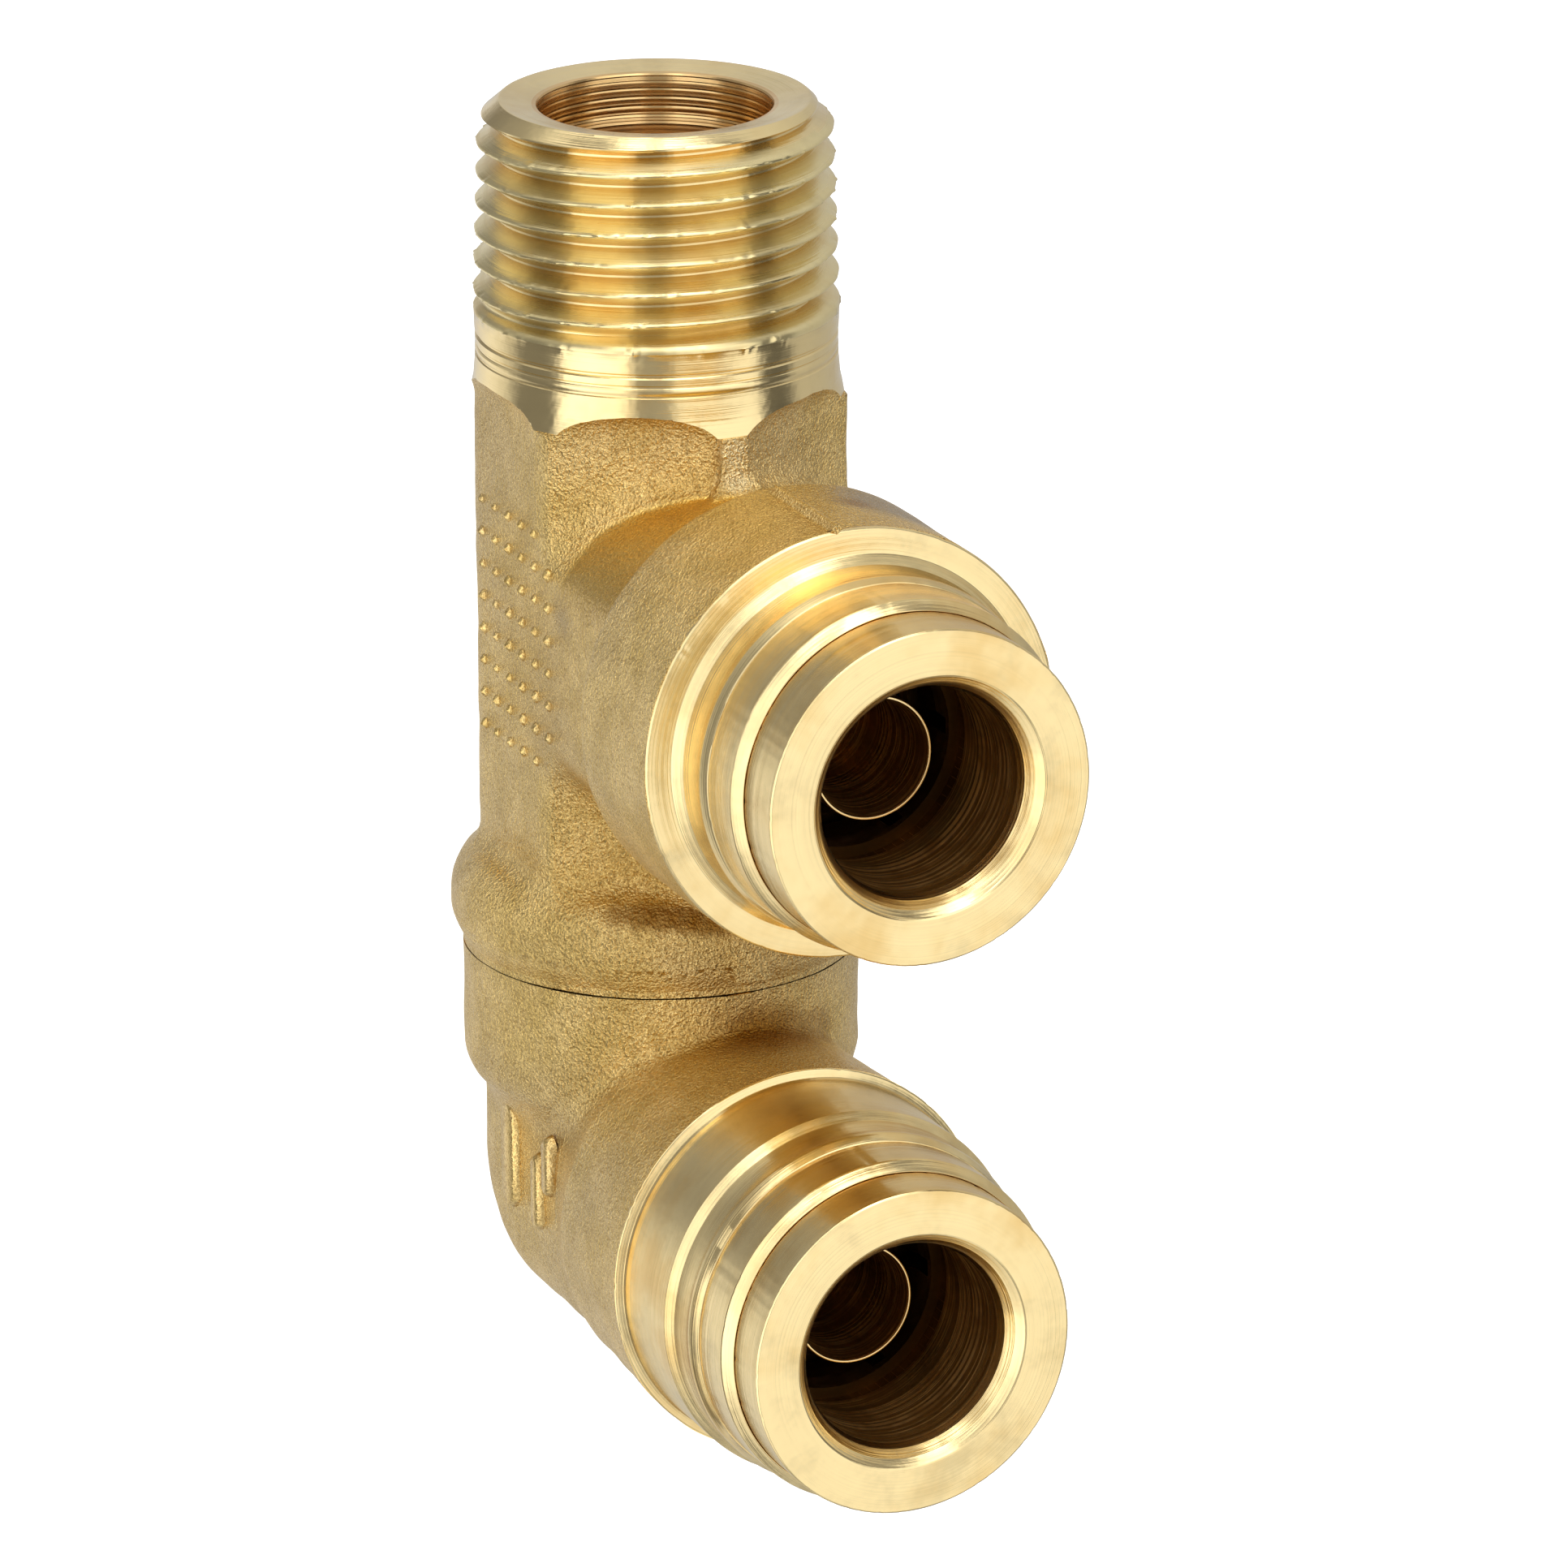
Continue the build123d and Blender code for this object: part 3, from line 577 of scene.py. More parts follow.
class Nodes:
    """Adds nodes to a tree and links them. Where a value is asked for, another node's output does too."""

    def __init__(self, tree):
        self.tree = tree

    def add(self, kind, settings=None, **inputs):
        """A node of a kind, with its settings, and its inputs by name or numbered as in_0."""
        node = self.tree.nodes.new(kind)
        for key, value in (settings or {}).items():
            setattr(node, key, value)
        for key, value in inputs.items():
            socket = node.inputs[int(key[3:])] if key.startswith("in_") else node.inputs[key]
            self.feed(socket, value)
        return node

    def feed(self, socket, value):
        if isinstance(value, bpy.types.NodeSocket):
            self.tree.links.new(value, socket)
        else:
            socket.default_value = value

    def maths(self, operation, *values):
        node = self.add("ShaderNodeMath", {"operation": operation})
        for socket, value in zip(node.inputs, values):
            self.feed(socket, value)
        return node.outputs[0]

    def spread(self, value, low, high, to_low=0.0, to_high=1.0, curve="SMOOTHSTEP"):
        """A value carried from one range to another, clamped."""
        node = self.add("ShaderNodeMapRange", {"interpolation_type": curve}, Value=value)
        for key, number in zip(("From Min", "From Max", "To Min", "To Max"), (low, high, to_low, to_high)):
            node.inputs[key].default_value = number
        return node.outputs[0]

    def mix(self, share, first, second, blend="MIX"):
        node = self.add("ShaderNodeMix", {"data_type": "RGBA", "blend_type": blend})
        for index, value in ((0, share), (6, first), (7, second)):
            self.feed(node.inputs[index], value)
        return node.outputs[2]

    def noise(self, vector, scale, detail=2.0, rough=0.5):
        node = self.add("ShaderNodeTexNoise", Vector=vector, Scale=scale, Detail=detail, Roughness=rough)
        return node.outputs["Fac"]


class Shader(Nodes):
    """The nodes of one new material."""

    def __init__(self, name):
        self.material = bpy.data.materials.new(name)
        self.material.use_nodes = True
        super().__init__(self.material.node_tree)
        self.surface = self.tree.nodes["Principled BSDF"]

    def set(self, **inputs):
        """Feeds the surface's inputs; an underscore in a name stands for a space."""
        for key, value in inputs.items():
            self.feed(self.surface.inputs[key.replace("_", " ")], value)

    def bump(self, height, strength, distance):
        node = self.add("ShaderNodeBump", Strength=strength, Distance=distance * MM, Height=height)
        self.set(Normal=node.outputs[0])

    def place(self):
        return self.add("ShaderNodeTexCoord").outputs["Object"]

    def turned_place(self, height=None):
        """A point made of the distance from the turning axis and the station along it."""
        x, y, z = self.add("ShaderNodeSeparateXYZ", Vector=self.place()).outputs
        if height is None:
            across, along = y, z
        else:
            across, along = self.maths("SUBTRACT", z, height * MM), y
        return self.add("ShaderNodeCombineXYZ", X=self.hypotenuse(x, across), Y=along).outputs[0]

    def hypotenuse(self, x, y):
        squares = self.maths("ADD", self.maths("MULTIPLY", x, x), self.maths("MULTIPLY", y, y))
        return self.maths("SQRT", squares)

    def upward(self):
        """How far the surface faces up, from -1 to 1."""
        normal = self.add("ShaderNodeTexCoord").outputs["Normal"]
        return self.add("ShaderNodeSeparateXYZ", Vector=normal).outputs[2]

    def crevice(self, distance):
        """How open the surface is: 1 in the open, less in creases; the materials paint shade with it."""
        return self.add("ShaderNodeAmbientOcclusion", {"samples": 4}, Distance=distance * MM).outputs["AO"]


# Stains on the forgings, with patches of painted shade and painted highlight among them: centre, radius,
# strength and colour
AMBER_OIL = (0.42, 0.19, 0.015, 1)
DARK_OIL = (0.28, 0.115, 0.008, 1)
# Grey painted shade, for darker patches of the forging
GREY_PAINTED_SHADE = (0.36, 0.27, 0.165, 1)
# Pale painted highlight
PAINTED_HIGHLIGHT = (1.0, 0.84, 0.50, 1)
STAINS_AND_PAINTED_LIGHT = [
    ((0.8, -10.6, -44.2), 3.8, 0.95, AMBER_OIL),
    ((1.6, -9.8, -36.6), 3.4, 0.85, AMBER_OIL),
    ((0.6, -9.9, -43.2), 1.7, 0.45, DARK_OIL),
    ((2.6, -9.6, -43.4), 1.9, 0.55, DARK_OIL),
    ((4.4, -8.6, -43.9), 1.6, 0.5, DARK_OIL),
    ((-5.5, -7.6, -37.05), 0.9, 0.6, DARK_OIL),
    ((-4.6, -8.2, -37.1), 0.95, 0.75, DARK_OIL),
    ((-3.7, -8.7, -37.2), 1.0, 0.8, DARK_OIL),
    ((-2.8, -9.1, -37.3), 1.0, 0.8, DARK_OIL),
    ((-1.9, -9.45, -37.45), 1.0, 0.8, DARK_OIL),
    ((-1.0, -9.7, -37.6), 0.95, 0.75, DARK_OIL),
    # Painted shade on the top right of the upper boss
    ((4.3, -17.2, -15.6), 4.6, 0.85, GREY_PAINTED_SHADE),
    ((2.0, -18.0, -14.9), 1.7, 0.65, DARK_OIL),
    # Painted highlight down the strip on the hexagon's front corner
    ((0.0, -9.06, -14.7), 1.3, 0.7, PAINTED_HIGHLIGHT),
    ((0.0, -9.06, -16.2), 1.3, 0.7, PAINTED_HIGHLIGHT),
    # A small patch of grey painted shade
    ((-7.0, -7.0, -22.4), 1.8, 0.6, GREY_PAINTED_SHADE),
]


def forged_brass(name="forged_brass", relief=1.0):
    """Blasted forging skin: sparkling grain, mottling, stains with patches of painted shade and painted
    highlight among them, painted brown shade in creases, painted amber reflection on the upper neck and on
    faces that look up, and a smoother upper neck.
    """
    s = Shader(name)
    place = s.place()
    grain = s.noise(place, 7500.0, 2.0, 0.6)
    pits = s.noise(place, 2600.0, 2.0, 0.6)
    mottle = s.noise(place, 420.0, 3.0, 0.6)
    patches = s.noise(place, 110.0, 2.0, 0.5)
    crease_shade = s.crevice(2.2)
    x, y, z = s.add("ShaderNodeSeparateXYZ", Vector=place).outputs
    across = s.maths("DIVIDE", x, BOSS_NECK_X * MM)
    up = s.maths("DIVIDE", s.maths("SUBTRACT", z, UPPER["height"] * MM), BOSS_NECK_Z * MM)
    oval = s.hypotenuse(across, up)
    on_neck = s.maths("MULTIPLY", s.spread(oval, 1.006, 1.03, 1.0, 0.0), s.spread(up, 0.25, 0.7))
    on_neck = s.maths("MULTIPLY", on_neck, s.spread(y, -7.2 * MM, -6.2 * MM, 1.0, 0.0))
    colour = s.mix(s.spread(mottle, 0.35, 0.65), (0.78, 0.55, 0.19, 1), (0.95, 0.69, 0.275, 1))
    colour = s.mix(s.spread(patches, 0.45, 0.65, 0.0, 0.4), colour, (0.64, 0.48, 0.25, 1))
    # The upper neck takes an amber tint: painted reflection of the hexagon over it
    colour = s.mix(s.maths("MULTIPLY", on_neck, 0.75), colour, (0.80, 0.50, 0.11, 1))
    # Faces that look up take an amber-brown tint: painted reflection
    colour = s.mix(s.spread(s.upward(), 0.78, 0.97, 0.0, 0.55), colour, (0.70, 0.42, 0.07, 1))
    raggedness = s.maths("MULTIPLY", patches, 3.0 * MM)
    # Each stain, patch of painted shade or painted highlight is a soft blob of colour
    for centre, radius, strength, tint in STAINS_AND_PAINTED_LIGHT:
        middle = [c * MM for c in centre]
        away = s.add("ShaderNodeVectorMath", {"operation": "DISTANCE"}, in_0=place, in_1=middle)
        away = s.maths("ADD", away.outputs["Value"], raggedness)
        share = s.spread(away, (0.3 * radius + 1.5) * MM, (radius + 1.5) * MM, strength, 0.0)
        colour = s.mix(share, colour, tint)
    colour = s.mix(s.spread(grain, 0.32, 0.52, 0.55, 0.0), colour, (0.38, 0.21, 0.05, 1))
    # Painted shade: brown in creases, from ambient occlusion, weaker on the upper neck
    painted_crease_shade = s.spread(crease_shade, 0.35, 0.8, 0.85, 0.0)
    painted_crease_shade = s.maths("MULTIPLY", painted_crease_shade, s.spread(on_neck, 0.0, 1.0, 1.0, 0.3))
    colour = s.mix(painted_crease_shade, colour, (0.40, 0.19, 0.03, 1))
    s.set(Base_Color=colour, Metallic=1.0, Roughness=s.spread(grain, 0.3, 0.7, 0.36, 0.22))
    height = s.maths("ADD", grain, s.maths("MULTIPLY", pits, 0.7))
    height = s.maths("MULTIPLY", height, s.spread(on_neck, 0.0, 1.0, 1.0, 0.35))
    s.bump(height, relief, 0.19)
    return s.material


def turned_brass(name, height=None, colour=(0.92, 0.73, 0.375, 1), roughness=0.2, tint=0.5, crease_shade=0.8):
    """Machined brass: fine turning lines round the axis, tarnish in patches, painted shade in creases, and on
    port pieces a painted amber reflection on faces that look up.
    """
    s = Shader(name)
    rings = s.turned_place(height)
    place = s.place()
    lines = s.noise(rings, 9000.0, 2.0, 0.6)
    bands = s.noise(rings, 1500.0, 2.0, 0.6)
    amber = s.noise(place, 170.0, 4.0, 0.6)
    elsewhere = s.add("ShaderNodeVectorMath", {"operation": "ADD"}, in_0=place, in_1=(0.3, 0.1, 0.7))
    olive = s.noise(elsewhere.outputs[0], 230.0, 4.0, 0.65)
    open_share = s.crevice(0.9)
    base = s.mix(s.spread(amber, 0.45, 0.72, 0.0, tint), colour, (0.66, 0.38, 0.08, 1))
    base = s.mix(s.spread(olive, 0.48, 0.74, 0.0, tint), base, (0.52, 0.42, 0.22, 1))
    # Painted shade: darker brown in creases, from ambient occlusion
    base = s.mix(s.spread(open_share, 0.25, 0.75, crease_shade, 0.0), base, (0.60, 0.32, 0.06, 1))
    # On port pieces, faces that look up take an amber tint: painted reflection
    if height is not None:
        base = s.mix(s.spread(s.upward(), 0.7, 1.0, 0.0, 0.45), base, (0.78, 0.48, 0.12, 1))
    axis = "Z" if height is None else "Y"
    tangent = s.add("ShaderNodeTangent", {"direction_type": "RADIAL", "axis": axis})
    s.set(
        Base_Color=base,
        Metallic=1.0,
        Roughness=s.spread(bands, 0.3, 0.7, roughness * 0.8, roughness * 1.35),
        Anisotropic=0.7,
        Anisotropic_Rotation=0.25,
        Tangent=tangent.outputs[0],
    )
    relief = s.maths("ADD", lines, s.maths("MULTIPLY", bands, 1.5))
    s.bump(s.maths("ADD", relief, s.maths("MULTIPLY", olive, 3.0)), 0.55, 0.03)
    return s.material


def bore_brass(name, height):
    """Dark brass of a port's inside, darkened as painted shade of the bore, with golden scratches round its
    axis.
    """
    s = Shader(name)
    lines = s.noise(s.turned_place(height), 5200.0, 3.0, 0.7)
    broken = s.noise(s.place(), 500.0, 2.0, 0.6)
    scratch = s.maths("MULTIPLY", s.spread(lines, 0.48, 0.62), s.spread(broken, 0.35, 0.6, 0.25, 1.0))
    # The dark brown ground is painted shade of the bore; the golden scratches are the brass's own
    colour = s.mix(scratch, (0.42, 0.22, 0.055, 1), (0.95, 0.66, 0.28, 1))
    s.set(Base_Color=colour, Metallic=1.0, Roughness=0.4)
    s.bump(lines, 0.6, 0.04)
    return s.material


def plain_material(name, colour, roughness, metallic=0.0):
    """A cloudy finish for the small parts inside."""
    s = Shader(name)
    place = s.place()
    cloud = s.noise(place, 600.0, 3.0, 0.6)
    darker = [0.75 * c for c in colour[:3]] + [1]
    s.set(
        Base_Color=s.mix(s.spread(cloud, 0.35, 0.65), colour, darker),
        Metallic=metallic,
        Roughness=s.spread(cloud, 0.3, 0.7, roughness * 0.85, roughness * 1.15),
    )
    s.bump(s.noise(place, 3000.0), 0.3, 0.02)
    return s.material


FORGED = forged_brass()
FORGED_MARKS = forged_brass("forged_brass_marks", relief=0.25)
TURNED_UPRIGHT = turned_brass("turned_brass_upright", roughness=0.17, tint=0.3, crease_shade=0.35)
THREAD_FLANKS = turned_brass(
    "turned_brass_thread", colour=(0.90, 0.755, 0.40, 1), roughness=0.27, tint=0.35, crease_shade=0.4
)
TURNED_PORT = {
    "upper": turned_brass("turned_brass_upper_port", UPPER["height"]),
    "lower": turned_brass("turned_brass_lower_port", LOWER["height"]),
}
BORE_PORT = {
    "upper": bore_brass("bore_brass_upper_port", UPPER["height"]),
    "lower": bore_brass("bore_brass_lower_port", LOWER["height"]),
}
BORE_UPRIGHT = turned_brass("bore_brass_upright", colour=(0.86, 0.58, 0.26, 1), roughness=0.22, crease_shade=0.3)
RUBBER = plain_material("seal_rubber", (0.012, 0.012, 0.012, 1), 0.55)
STEEL = plain_material("spring_steel", (0.5, 0.5, 0.52, 1), 0.3, metallic=1.0)
# Collet and spacer ring deep in the ports: brass darkened almost to black, painted shade of the bore
BORE_SHADED_BRASS = plain_material("bore_shaded_brass", (0.16, 0.08, 0.02, 1), 0.45, metallic=1.0)
ACETAL = plain_material("bearing_plastic", (0.8, 0.78, 0.7, 1), 0.45)


# ---------------------------------------------------------------- pieces

def belongs(piece, body, slot, *nodes):
    """A piece rides on a body and stands for CAD nodes, which it hides. The slot is not used."""
    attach(piece, body)
    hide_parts(*nodes)
    return piece


def boss_nose(port, body, node, rear, step_r, ridge_r, seed):
    """The machined front of a boss: its rear outline, the waist left by the crimp and the ridge in front."""
    face = port["face"]
    profile = rear + [
        (step_r, face - 4.3),
        (step_r - 0.17, face - 4.12),
        (step_r - 0.36, face - 3.9),
        (ridge_r - 0.1, face - 3.45),
        (ridge_r - 0.15, face - 3.0),
        (ridge_r - 0.14, face - 2.7),
        (ridge_r - 0.1, face - 2.52),
        (ridge_r - 0.02, face - 2.4),
        (ridge_r, face - 2.2),
        (ridge_r - 0.03, face - 2.05),
        (RIM_R + 0.05, face - 1.68),
        (RIM_R - 0.02, face - 1.66),
        (SLEEVE_R + 0.005, face - 1.66),
    ]
    materials = [TURNED_PORT[port["prefix"]]]
    name = f"{port['prefix']}_port_nose"
    piece = lathe(name, rounded(profile, 0.07), materials, port["height"], nicks=0.05, seed=seed)
    return belongs(piece, body, "turned_brass", node)


def release_button(port, body):
    """Flanged sleeve that is pushed in to free the tube."""
    prefix = port["prefix"]
    front = port["front"]
    back = front - BUTTON_THICKNESS - SKIRT_LAP
    neck_low = -cad_box(f"{prefix}_release_button")[1][1]
    mouth = [(5.75, 0), (5.66, 0.05), (5.32, 0.38), (5.02, 0.85), (TUBE_BORE_R + 0.02, 1.3)]
    grooves = []
    for turn in range(9):
        station = front - 1.6 - 0.42 * turn
        groove = ((0, 0), (0.035, 0.12), (0, 0.24))
        grooves += [(TUBE_BORE_R + deeper, station - further) for deeper, further in groove]
    profile = [
        (BUTTON_NECK_R, back),
        (BUTTON_R - 0.1, back),
        (BUTTON_R, back + 0.1),
        (BUTTON_R - 0.01, (back + front) / 2),
        (BUTTON_R, front - 0.08),
        (BUTTON_R - 0.08, front),
        (6.6, front - 0.012),
        *[(radius, front - depth) for radius, depth in mouth],
        *grooves,
        (TUBE_BORE_R, front - 5.8),
        (TUBE_BORE_R + 0.3, front - 5.8),
        (TUBE_BORE_R + 0.3, neck_low + 1.2),
        (5.5, neck_low + 1.2),
        (5.5, neck_low),
        (BUTTON_NECK_R, neck_low),
    ]

    def inside(radius, station):
        return radius < 5.7 and station < front - 1.25 or station < back - 0.02

    piece = lathe(
        f"{prefix}_button",
        rounded(profile, 0.05),
        [TURNED_PORT[prefix], BORE_PORT[prefix]],
        port["height"],
        nicks=0.03,
        seed=9,
        second=inside,
    )
    return belongs(piece, body, "turned_brass", f"{prefix}_release_button")


def retainer_sleeve(port, body):
    """Turned sleeve that is crimped into the boss, with a rim that the button sinks into."""
    face = port["face"]
    profile = [
        (RECESS_R, face - SKIRT_LAP - 0.05),
        (RECESS_R, face + RECESS_DEPTH - 0.02),
        (RECESS_R + 0.03, face + RECESS_DEPTH),
        (RIM_R - 0.03, face + 0.74),
        (RIM_R, face + 0.68),
        (RIM_R, face - 1.65),
        (SLEEVE_R, face - 1.65),
        (SLEEVE_R, face - 4.0),
        (SLEEVE_SEAT_R, face - 4.0),
        (SLEEVE_SEAT_R, face - SLEEVE_LENGTH),
        (7.3, face - SLEEVE_LENGTH),
        (7.3, face - 7.14),
        (NECK_BORE_R, face - 5.2),
        (NECK_BORE_R, face - 2.0),
        (6.9, face - 2.0),
        (6.9, face - 0.8),
        (NECK_BORE_R, face - 0.8),
        (NECK_BORE_R, face - SKIRT_LAP - 0.05),
    ]

    def inside(radius, station):
        return radius < RECESS_R + 0.001

    materials = [TURNED_PORT[port["prefix"]], BORE_PORT[port["prefix"]]]
    name = f"{port['prefix']}_sleeve"
    piece = lathe(name, rounded(profile, 0.03), materials, port["height"], nicks=0.04, seed=5, second=inside)
    return belongs(piece, body, "turned_brass", f"{port['prefix']}_retainer_sleeve")


def tube_support(port, body):
    """Thin tube that goes inside the end of the plastic tube, with a bright edge."""
    foot = port["support_foot"]
    tip = port["support_tip"]
    profile = [
        (SUPPORT_BORE_R, foot),
        (PASSAGE_R, foot),
        (PASSAGE_R, foot + 2.0),
        (SUPPORT_R, foot + 2.45),
        (SUPPORT_R, tip - 0.1),
        (SUPPORT_R - 0.05, tip),
        (SUPPORT_R - 0.13, tip),
        (SUPPORT_R - 0.17, tip - 0.1),
        (SUPPORT_BORE_R, tip - 1.2),
    ]

    def inside(radius, station):
        return station < tip - 0.06

    materials = [TURNED_PORT[port["prefix"]], BORE_PORT[port["prefix"]]]
    name = f"{port['prefix']}_support"
    piece = lathe(name, rounded(profile, 0.02), materials, port["height"], segments=160, second=inside)
    return belongs(piece, body, "turned_brass", f"{port['prefix']}_tube_support")


def studs(name, places, radius, rise, material):
    """Small domes on the -X flat, at (y, z) places, each a closed shell sunk a little into the forging."""
    draw = np.random.default_rng(8)
    vertices, faces = [], []
    around = 14
    angles = np.linspace(0, 2 * math.pi, around, endpoint=False)
    outline = ((1.05, -0.3), (1.0, 0.02), (0.6, 0.55), (0.3, 0.88))
    for y, z in places:
        first = len(vertices)
        size = draw.uniform(0.85, 1.15)
        for share, height in outline:
            for angle in angles:
                off = radius * size * share
                x = -HALF_FLATS - rise * size * height
                vertices.append((x, y + off * math.cos(angle), z + off * math.sin(angle)))
        top, bottom = len(vertices), len(vertices) + 1
        vertices += [(-HALF_FLATS - rise * size, y, z), (-HALF_FLATS + 0.15, y, z)]
        for ring in range(len(outline) - 1):
            for i in range(around):
                a, b = first + ring * around + i, first + ring * around + (i + 1) % around
                faces.append((a, a + around, b + around, b))
        last = first + (len(outline) - 1) * around
        for i in range(around):
            j = (i + 1) % around
            faces.append((last + i, top, last + j))
            faces.append((first + j, bottom, first + i))
    return shell(name, vertices, faces, material)


def bars(name, places, rise, material):
    """Plain raised bars on the -X flat, from (y, half-width, low z, high z), with sloping sides."""
    vertices, faces = [], []
    for y, half, low, high in places:
        first = len(vertices)
        for inset, height in ((-0.12, -0.2), (-0.06, 0.0), (0.06, 0.75 * rise), (0.16, rise)):
            x, w, bottom, top = -HALF_FLATS - height, half - inset, low + inset, high - inset
            cut = 0.8 * w
            left = [(y - w, bottom + cut), (y - w, top - cut), (y - w + cut, top)]
            right = [(y + w - cut, top), (y + w, top - cut), (y + w, bottom + cut), (y + w - cut, bottom)]
            vertices += [(x, *corner) for corner in left + right + [(y - w + cut, bottom)]]
        for ring in range(3):
            for i in range(8):
                a, b = first + ring * 8 + i, first + ring * 8 + (i + 1) % 8
                faces.append((a, b, b + 8, a + 8))
        faces.append(tuple(first + 24 + i for i in range(8)))
        faces.append(tuple(first + 7 - i for i in range(8)))
    return shell(name, vertices, faces, material)


def shell(name, vertices, faces, material):
    """A smooth-shaded object from millimetre vertices and faces of any size, its normals turned outwards."""
    mesh = bpy.data.meshes.new(name)
    mesh.from_pydata([tuple(MM * c for c in vertex) for vertex in vertices], [], faces)
    work = bmesh.new()
    work.from_mesh(mesh)
    bmesh.ops.recalc_face_normals(work, faces=work.faces)
    work.to_mesh(mesh)
    work.free()
    mesh.polygons.foreach_set("use_smooth", np.ones(len(mesh.polygons), bool))
    mesh.set_sharp_from_angle(angle=math.radians(50))
    mesh.materials.append(material)
    piece = bpy.data.objects.new(name, mesh)
    bpy.context.scene.collection.objects.link(piece)
    return piece


upper_cell, lower_cell = ((0.25, 0.22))
upper_low, upper_high = (-10.9, -22.6, SEAM_Z - 0.7), (10.9, 10.9, SKIRT_TOP_Z + 0.7)
lower_low, lower_high = (-10.3, -16.6, LOWER["height"] - 10.2), (10.3, 10.3, ELBOW_TOP_Z + 0.6)
for node, body, parts, low, high, cell in (
    ("upper_body", "upper", upper_forging, upper_low, upper_high, upper_cell),
    ("lower_elbow", "elbow", lower_forging, lower_low, lower_high, lower_cell),
):
    forging = field_object(f"{node}_forging", parts, low, high, cell, [FORGED, TURNED_UPRIGHT])
    belongs(forging, body, "forged_brass", node)
thread = threaded_end([TURNED_UPRIGHT, BORE_UPRIGHT, THREAD_FLANKS])
belongs(thread, "upper", "turned_brass", "upper_body")

upper_rear = [
    (SLEEVE_R + 0.005, BOSS_STEP - 0.5),
    (BOSS_R - 0.3, BOSS_STEP - 0.5),
    (BOSS_R + 0.004, BOSS_STEP - 0.2),
    (BOSS_R + 0.004, BOSS_STEP - 0.1),
    (BOSS_R - 0.09, BOSS_STEP),
    (9.5, BOSS_STEP + 0.02),
    (9.0, BOSS_STEP + 0.05),
]
lower_rear = [
    (SLEEVE_R + 0.005, LOWER_SHOULDER - 0.4),
    (LOWER_SHOULDER_R - 0.25, LOWER_SHOULDER - 0.4),
    (LOWER_SHOULDER_R + 0.004, LOWER_SHOULDER - 0.12),
    (LOWER_SHOULDER_R + 0.004, LOWER_SHOULDER - 0.05),
    (LOWER_SHOULDER_R - 0.06, LOWER_SHOULDER),
    (LOWER_BOSS_R + 0.2, LOWER_SHOULDER + 0.04),
    (LOWER_BOSS_R + 0.06, LOWER_SHOULDER + 0.1),
    (LOWER_BOSS_R, LOWER_SHOULDER + 0.25),
    (LOWER_BOSS_R - 0.02, LOWER_SHOULDER + 2.0),
]
boss_nose(UPPER, "upper", "upper_body", upper_rear, 8.95, 8.55, seed=7)
boss_nose(LOWER, "elbow", "lower_elbow", lower_rear, LOWER_BOSS_R, 8.65, seed=9)
for port, body, button_body in ((UPPER, "upper", "upper_button"), (LOWER, "elbow", "lower_button")):
    release_button(port, button_body)
    retainer_sleeve(port, body)
    tube_support(port, body)

stud_places = []
for column in range(6):
    for row in range(8) if column < 5 else range(1, 7):
        stud_places.append((2.55 - 1.55 * column, -19.2 - 1.59 * row))
marks = studs("upper_body_studs", stud_places, 0.28, 0.23, FORGED_MARKS)
belongs(marks, "upper", "forged_brass", "upper_body")
bar_places = [(-0.13, 0.78, -53.9, -48.5), (-3.4, 0.45, -53.9, -50.2), (-4.7, 0.42, -51.8, -48.9)]
marks = bars("lower_elbow_bars", bar_places, 0.3, FORGED_MARKS)
belongs(marks, "elbow", "forged_brass", "lower_elbow")

# CAD nodes that stay as they are take a finish of their own
FINISH_WORDS = {
    "seal": RUBBER,
    "wiper_ring": RUBBER,
    "retaining_ring": STEEL,
    "thrust_washer": ACETAL,
    "collet": BORE_SHADED_BRASS,
    "spacer_ring": BORE_SHADED_BRASS,
    "swivel_stem": BORE_UPRIGHT,
}
for node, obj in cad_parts.items():
    for word, material in FINISH_WORDS.items():
        if word in node and not obj.hide_render:
            obj.data.materials.clear()
            obj.data.materials.append(material)


# ---------------------------------------------------------------- stage, light and camera

CAMERA_AZIMUTH = -24.327
CAMERA_ELEVATION = 18.904
CAMERA_ROLL = -0.122
CAMERA_DISTANCE = 439.7
CAMERA_TARGET = (6.504, 0.0, -34.66)
CAMERA_LENS = 210.46

TENT_STRENGTH = 1.15
# Brightness of the tent by bearing from the camera, in degrees
TENT_WALLS = [
    (-180, 0.5), (-150, 0.75), (-130, 0.95), (-116, 0.8), (-104, 0.5), (-95, 0.2), (-67, 0.2), (-60, 1.15),
    (-20, 1.25), (-10, 0.35), (8, 0.35), (16, 1.15), (66, 1.05), (74, 0.12), (90, 0.12), (100, 0.5),
    (140, 0.45), (180, 0.5),
]
# Darker and brighter patches: bearing, elevation, inner radius and outer radius in degrees, and a factor
TENT_SHADES = [(-137, 26, 12, 38, 0.28), (-57, 50, 8, 24, 0.45), (5, 66, 8, 30, 1.8), (-42, -16, 10, 32, 1.4)]
# Brightness by the sine of the height
TENT_HEIGHTS = [(-1, 0.7), (-0.3, 0.95), (0.3, 1.0), (0.7, 1.3), (1, 1.5)]


def direction(azimuth, elevation):
    """Unit vector at a bearing from straight ahead of the ports and a height, both in degrees."""
    a, e = math.radians(azimuth), math.radians(elevation)
    return Vector((math.sin(a) * math.cos(e), -math.cos(a) * math.cos(e), math.sin(e)))


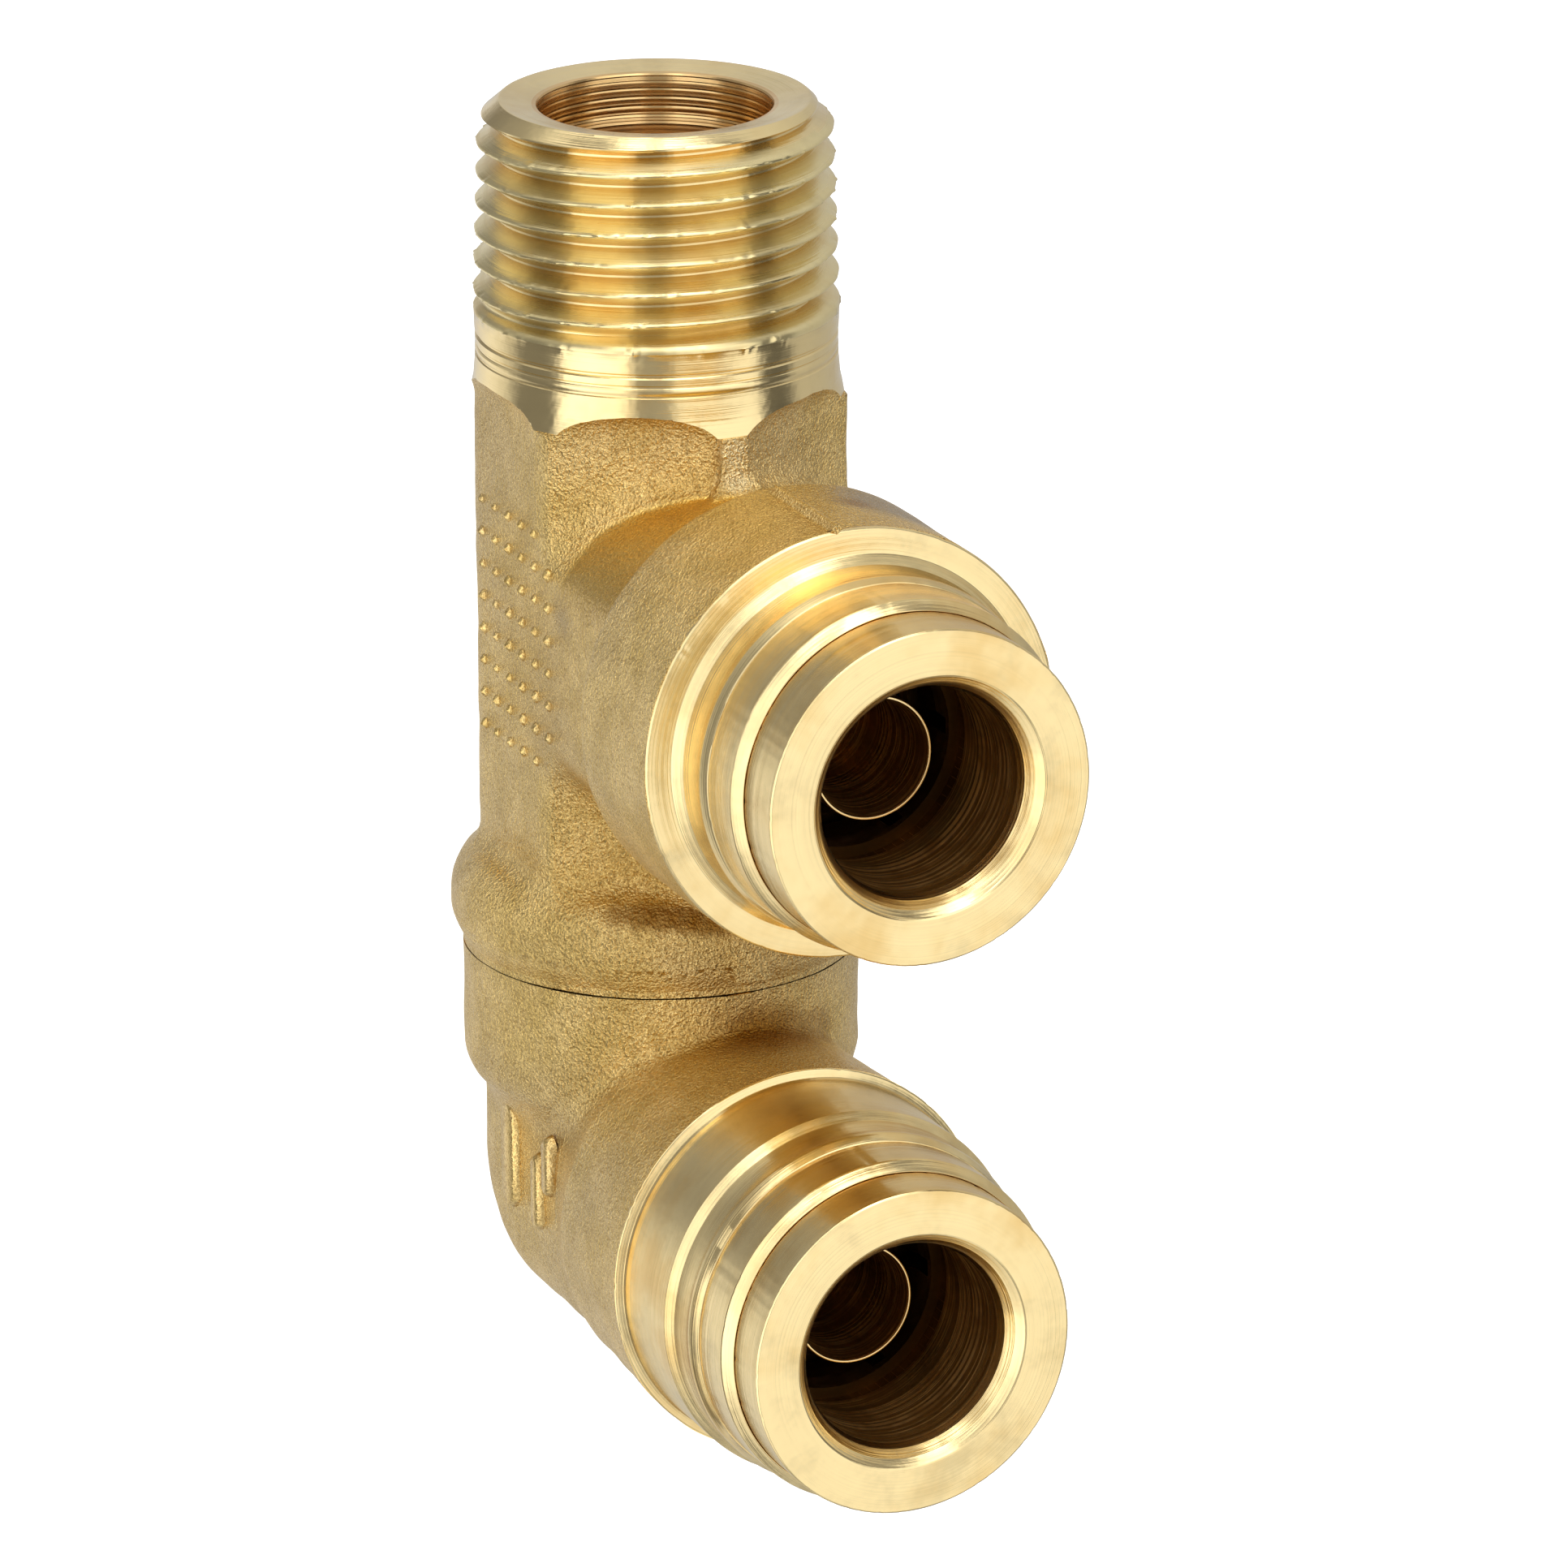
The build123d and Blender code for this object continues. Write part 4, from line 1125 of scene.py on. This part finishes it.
def add_camera():
    back = direction(CAMERA_AZIMUTH, CAMERA_ELEVATION)
    data = bpy.data.cameras.new("camera")
    data.sensor_width = 36
    data.lens = CAMERA_LENS
    data.clip_start, data.clip_end = 0.01, 20
    camera = bpy.data.objects.new("camera", data)
    turn = (-back).to_track_quat("-Z", "Y").to_matrix().to_4x4()
    roll = Matrix.Rotation(math.radians(CAMERA_ROLL), 4, "Z")
    place = (Vector(CAMERA_TARGET) + CAMERA_DISTANCE * back) * MM
    camera.matrix_world = Matrix.Translation(place) @ turn @ roll
    bpy.context.scene.collection.objects.link(camera)
    bpy.context.scene.camera = camera


def add_floor():
    bpy.ops.mesh.primitive_plane_add(size=6, location=(0, 0, -0.085))
    floor = bpy.context.object
    floor.name = "floor"
    s = Shader("floor")
    s.set(Base_Color=(0.9, 0.9, 0.9, 1), Roughness=0.9, Emission_Color=(1, 1, 1, 1), Emission_Strength=0.6)
    floor.data.materials.append(s.material)
    floor.visible_glossy = False


def add_world():
    """A light tent: white all round but for gaps beside the camera, and plain white as a backdrop."""
    world = bpy.data.worlds.new("tent")
    bpy.context.scene.world = world
    world.use_nodes = True
    world.node_tree.nodes.clear()
    t = Nodes(world.node_tree)
    place = t.add("ShaderNodeTexCoord").outputs["Generated"]
    angle = -math.radians(CAMERA_AZIMUTH)
    rotate = t.add("ShaderNodeVectorRotate", {"rotation_type": "Z_AXIS"}, Vector=place, Angle=angle)
    toward = rotate.outputs[0]
    x, y, z = t.add("ShaderNodeSeparateXYZ", Vector=toward).outputs
    bearing = t.maths("ARCTAN2", x, t.maths("MULTIPLY", y, -1))
    walls = t.add("ShaderNodeValToRGB", in_0=t.spread(bearing, -math.pi, math.pi, curve="LINEAR"))
    ramp(walls, TENT_WALLS, 360, 180)
    roof = t.add("ShaderNodeValToRGB", in_0=t.spread(z, -1, 1, curve="LINEAR"))
    ramp(roof, TENT_HEIGHTS, 2, 1)
    strength = TENT_STRENGTH
    for azimuth, elevation, inner, outer, factor in TENT_SHADES:
        middle = direction(azimuth, elevation)
        cosine = t.add("ShaderNodeVectorMath", {"operation": "DOT_PRODUCT"}, in_0=toward, in_1=middle)
        edge, core = math.cos(math.radians(outer)), math.cos(math.radians(inner))
        strength = t.maths("MULTIPLY", strength, t.spread(cosine.outputs["Value"], edge, core, 1, factor))
    colour = t.mix(1, walls.outputs[0], roof.outputs[0], blend="MULTIPLY")
    tent = t.add("ShaderNodeBackground", in_0=colour, in_1=strength).outputs[0]
    backdrop = t.add("ShaderNodeBackground", in_0=(1, 1, 1, 1)).outputs[0]
    seen = t.add("ShaderNodeLightPath").outputs["Is Camera Ray"]
    choice = t.add("ShaderNodeMixShader", in_0=seen, in_1=tent, in_2=backdrop).outputs[0]
    t.add("ShaderNodeOutputWorld", in_0=choice)


def ramp(node, stops, span, offset):
    """Fills a colour ramp from (place, brightness) stops, where place runs over span from -offset."""
    elements = node.color_ramp.elements
    while len(elements) > 1:
        elements.remove(elements[-1])
    for i, (place, value) in enumerate(stops):
        element = elements[0] if i == 0 else elements.new((place + offset) / span)
        element.position = (place + offset) / span
        element.color = (value, value, value, 1)


add_camera()
add_floor()
add_world()
bpy.context.scene.view_settings.view_transform = "Standard"
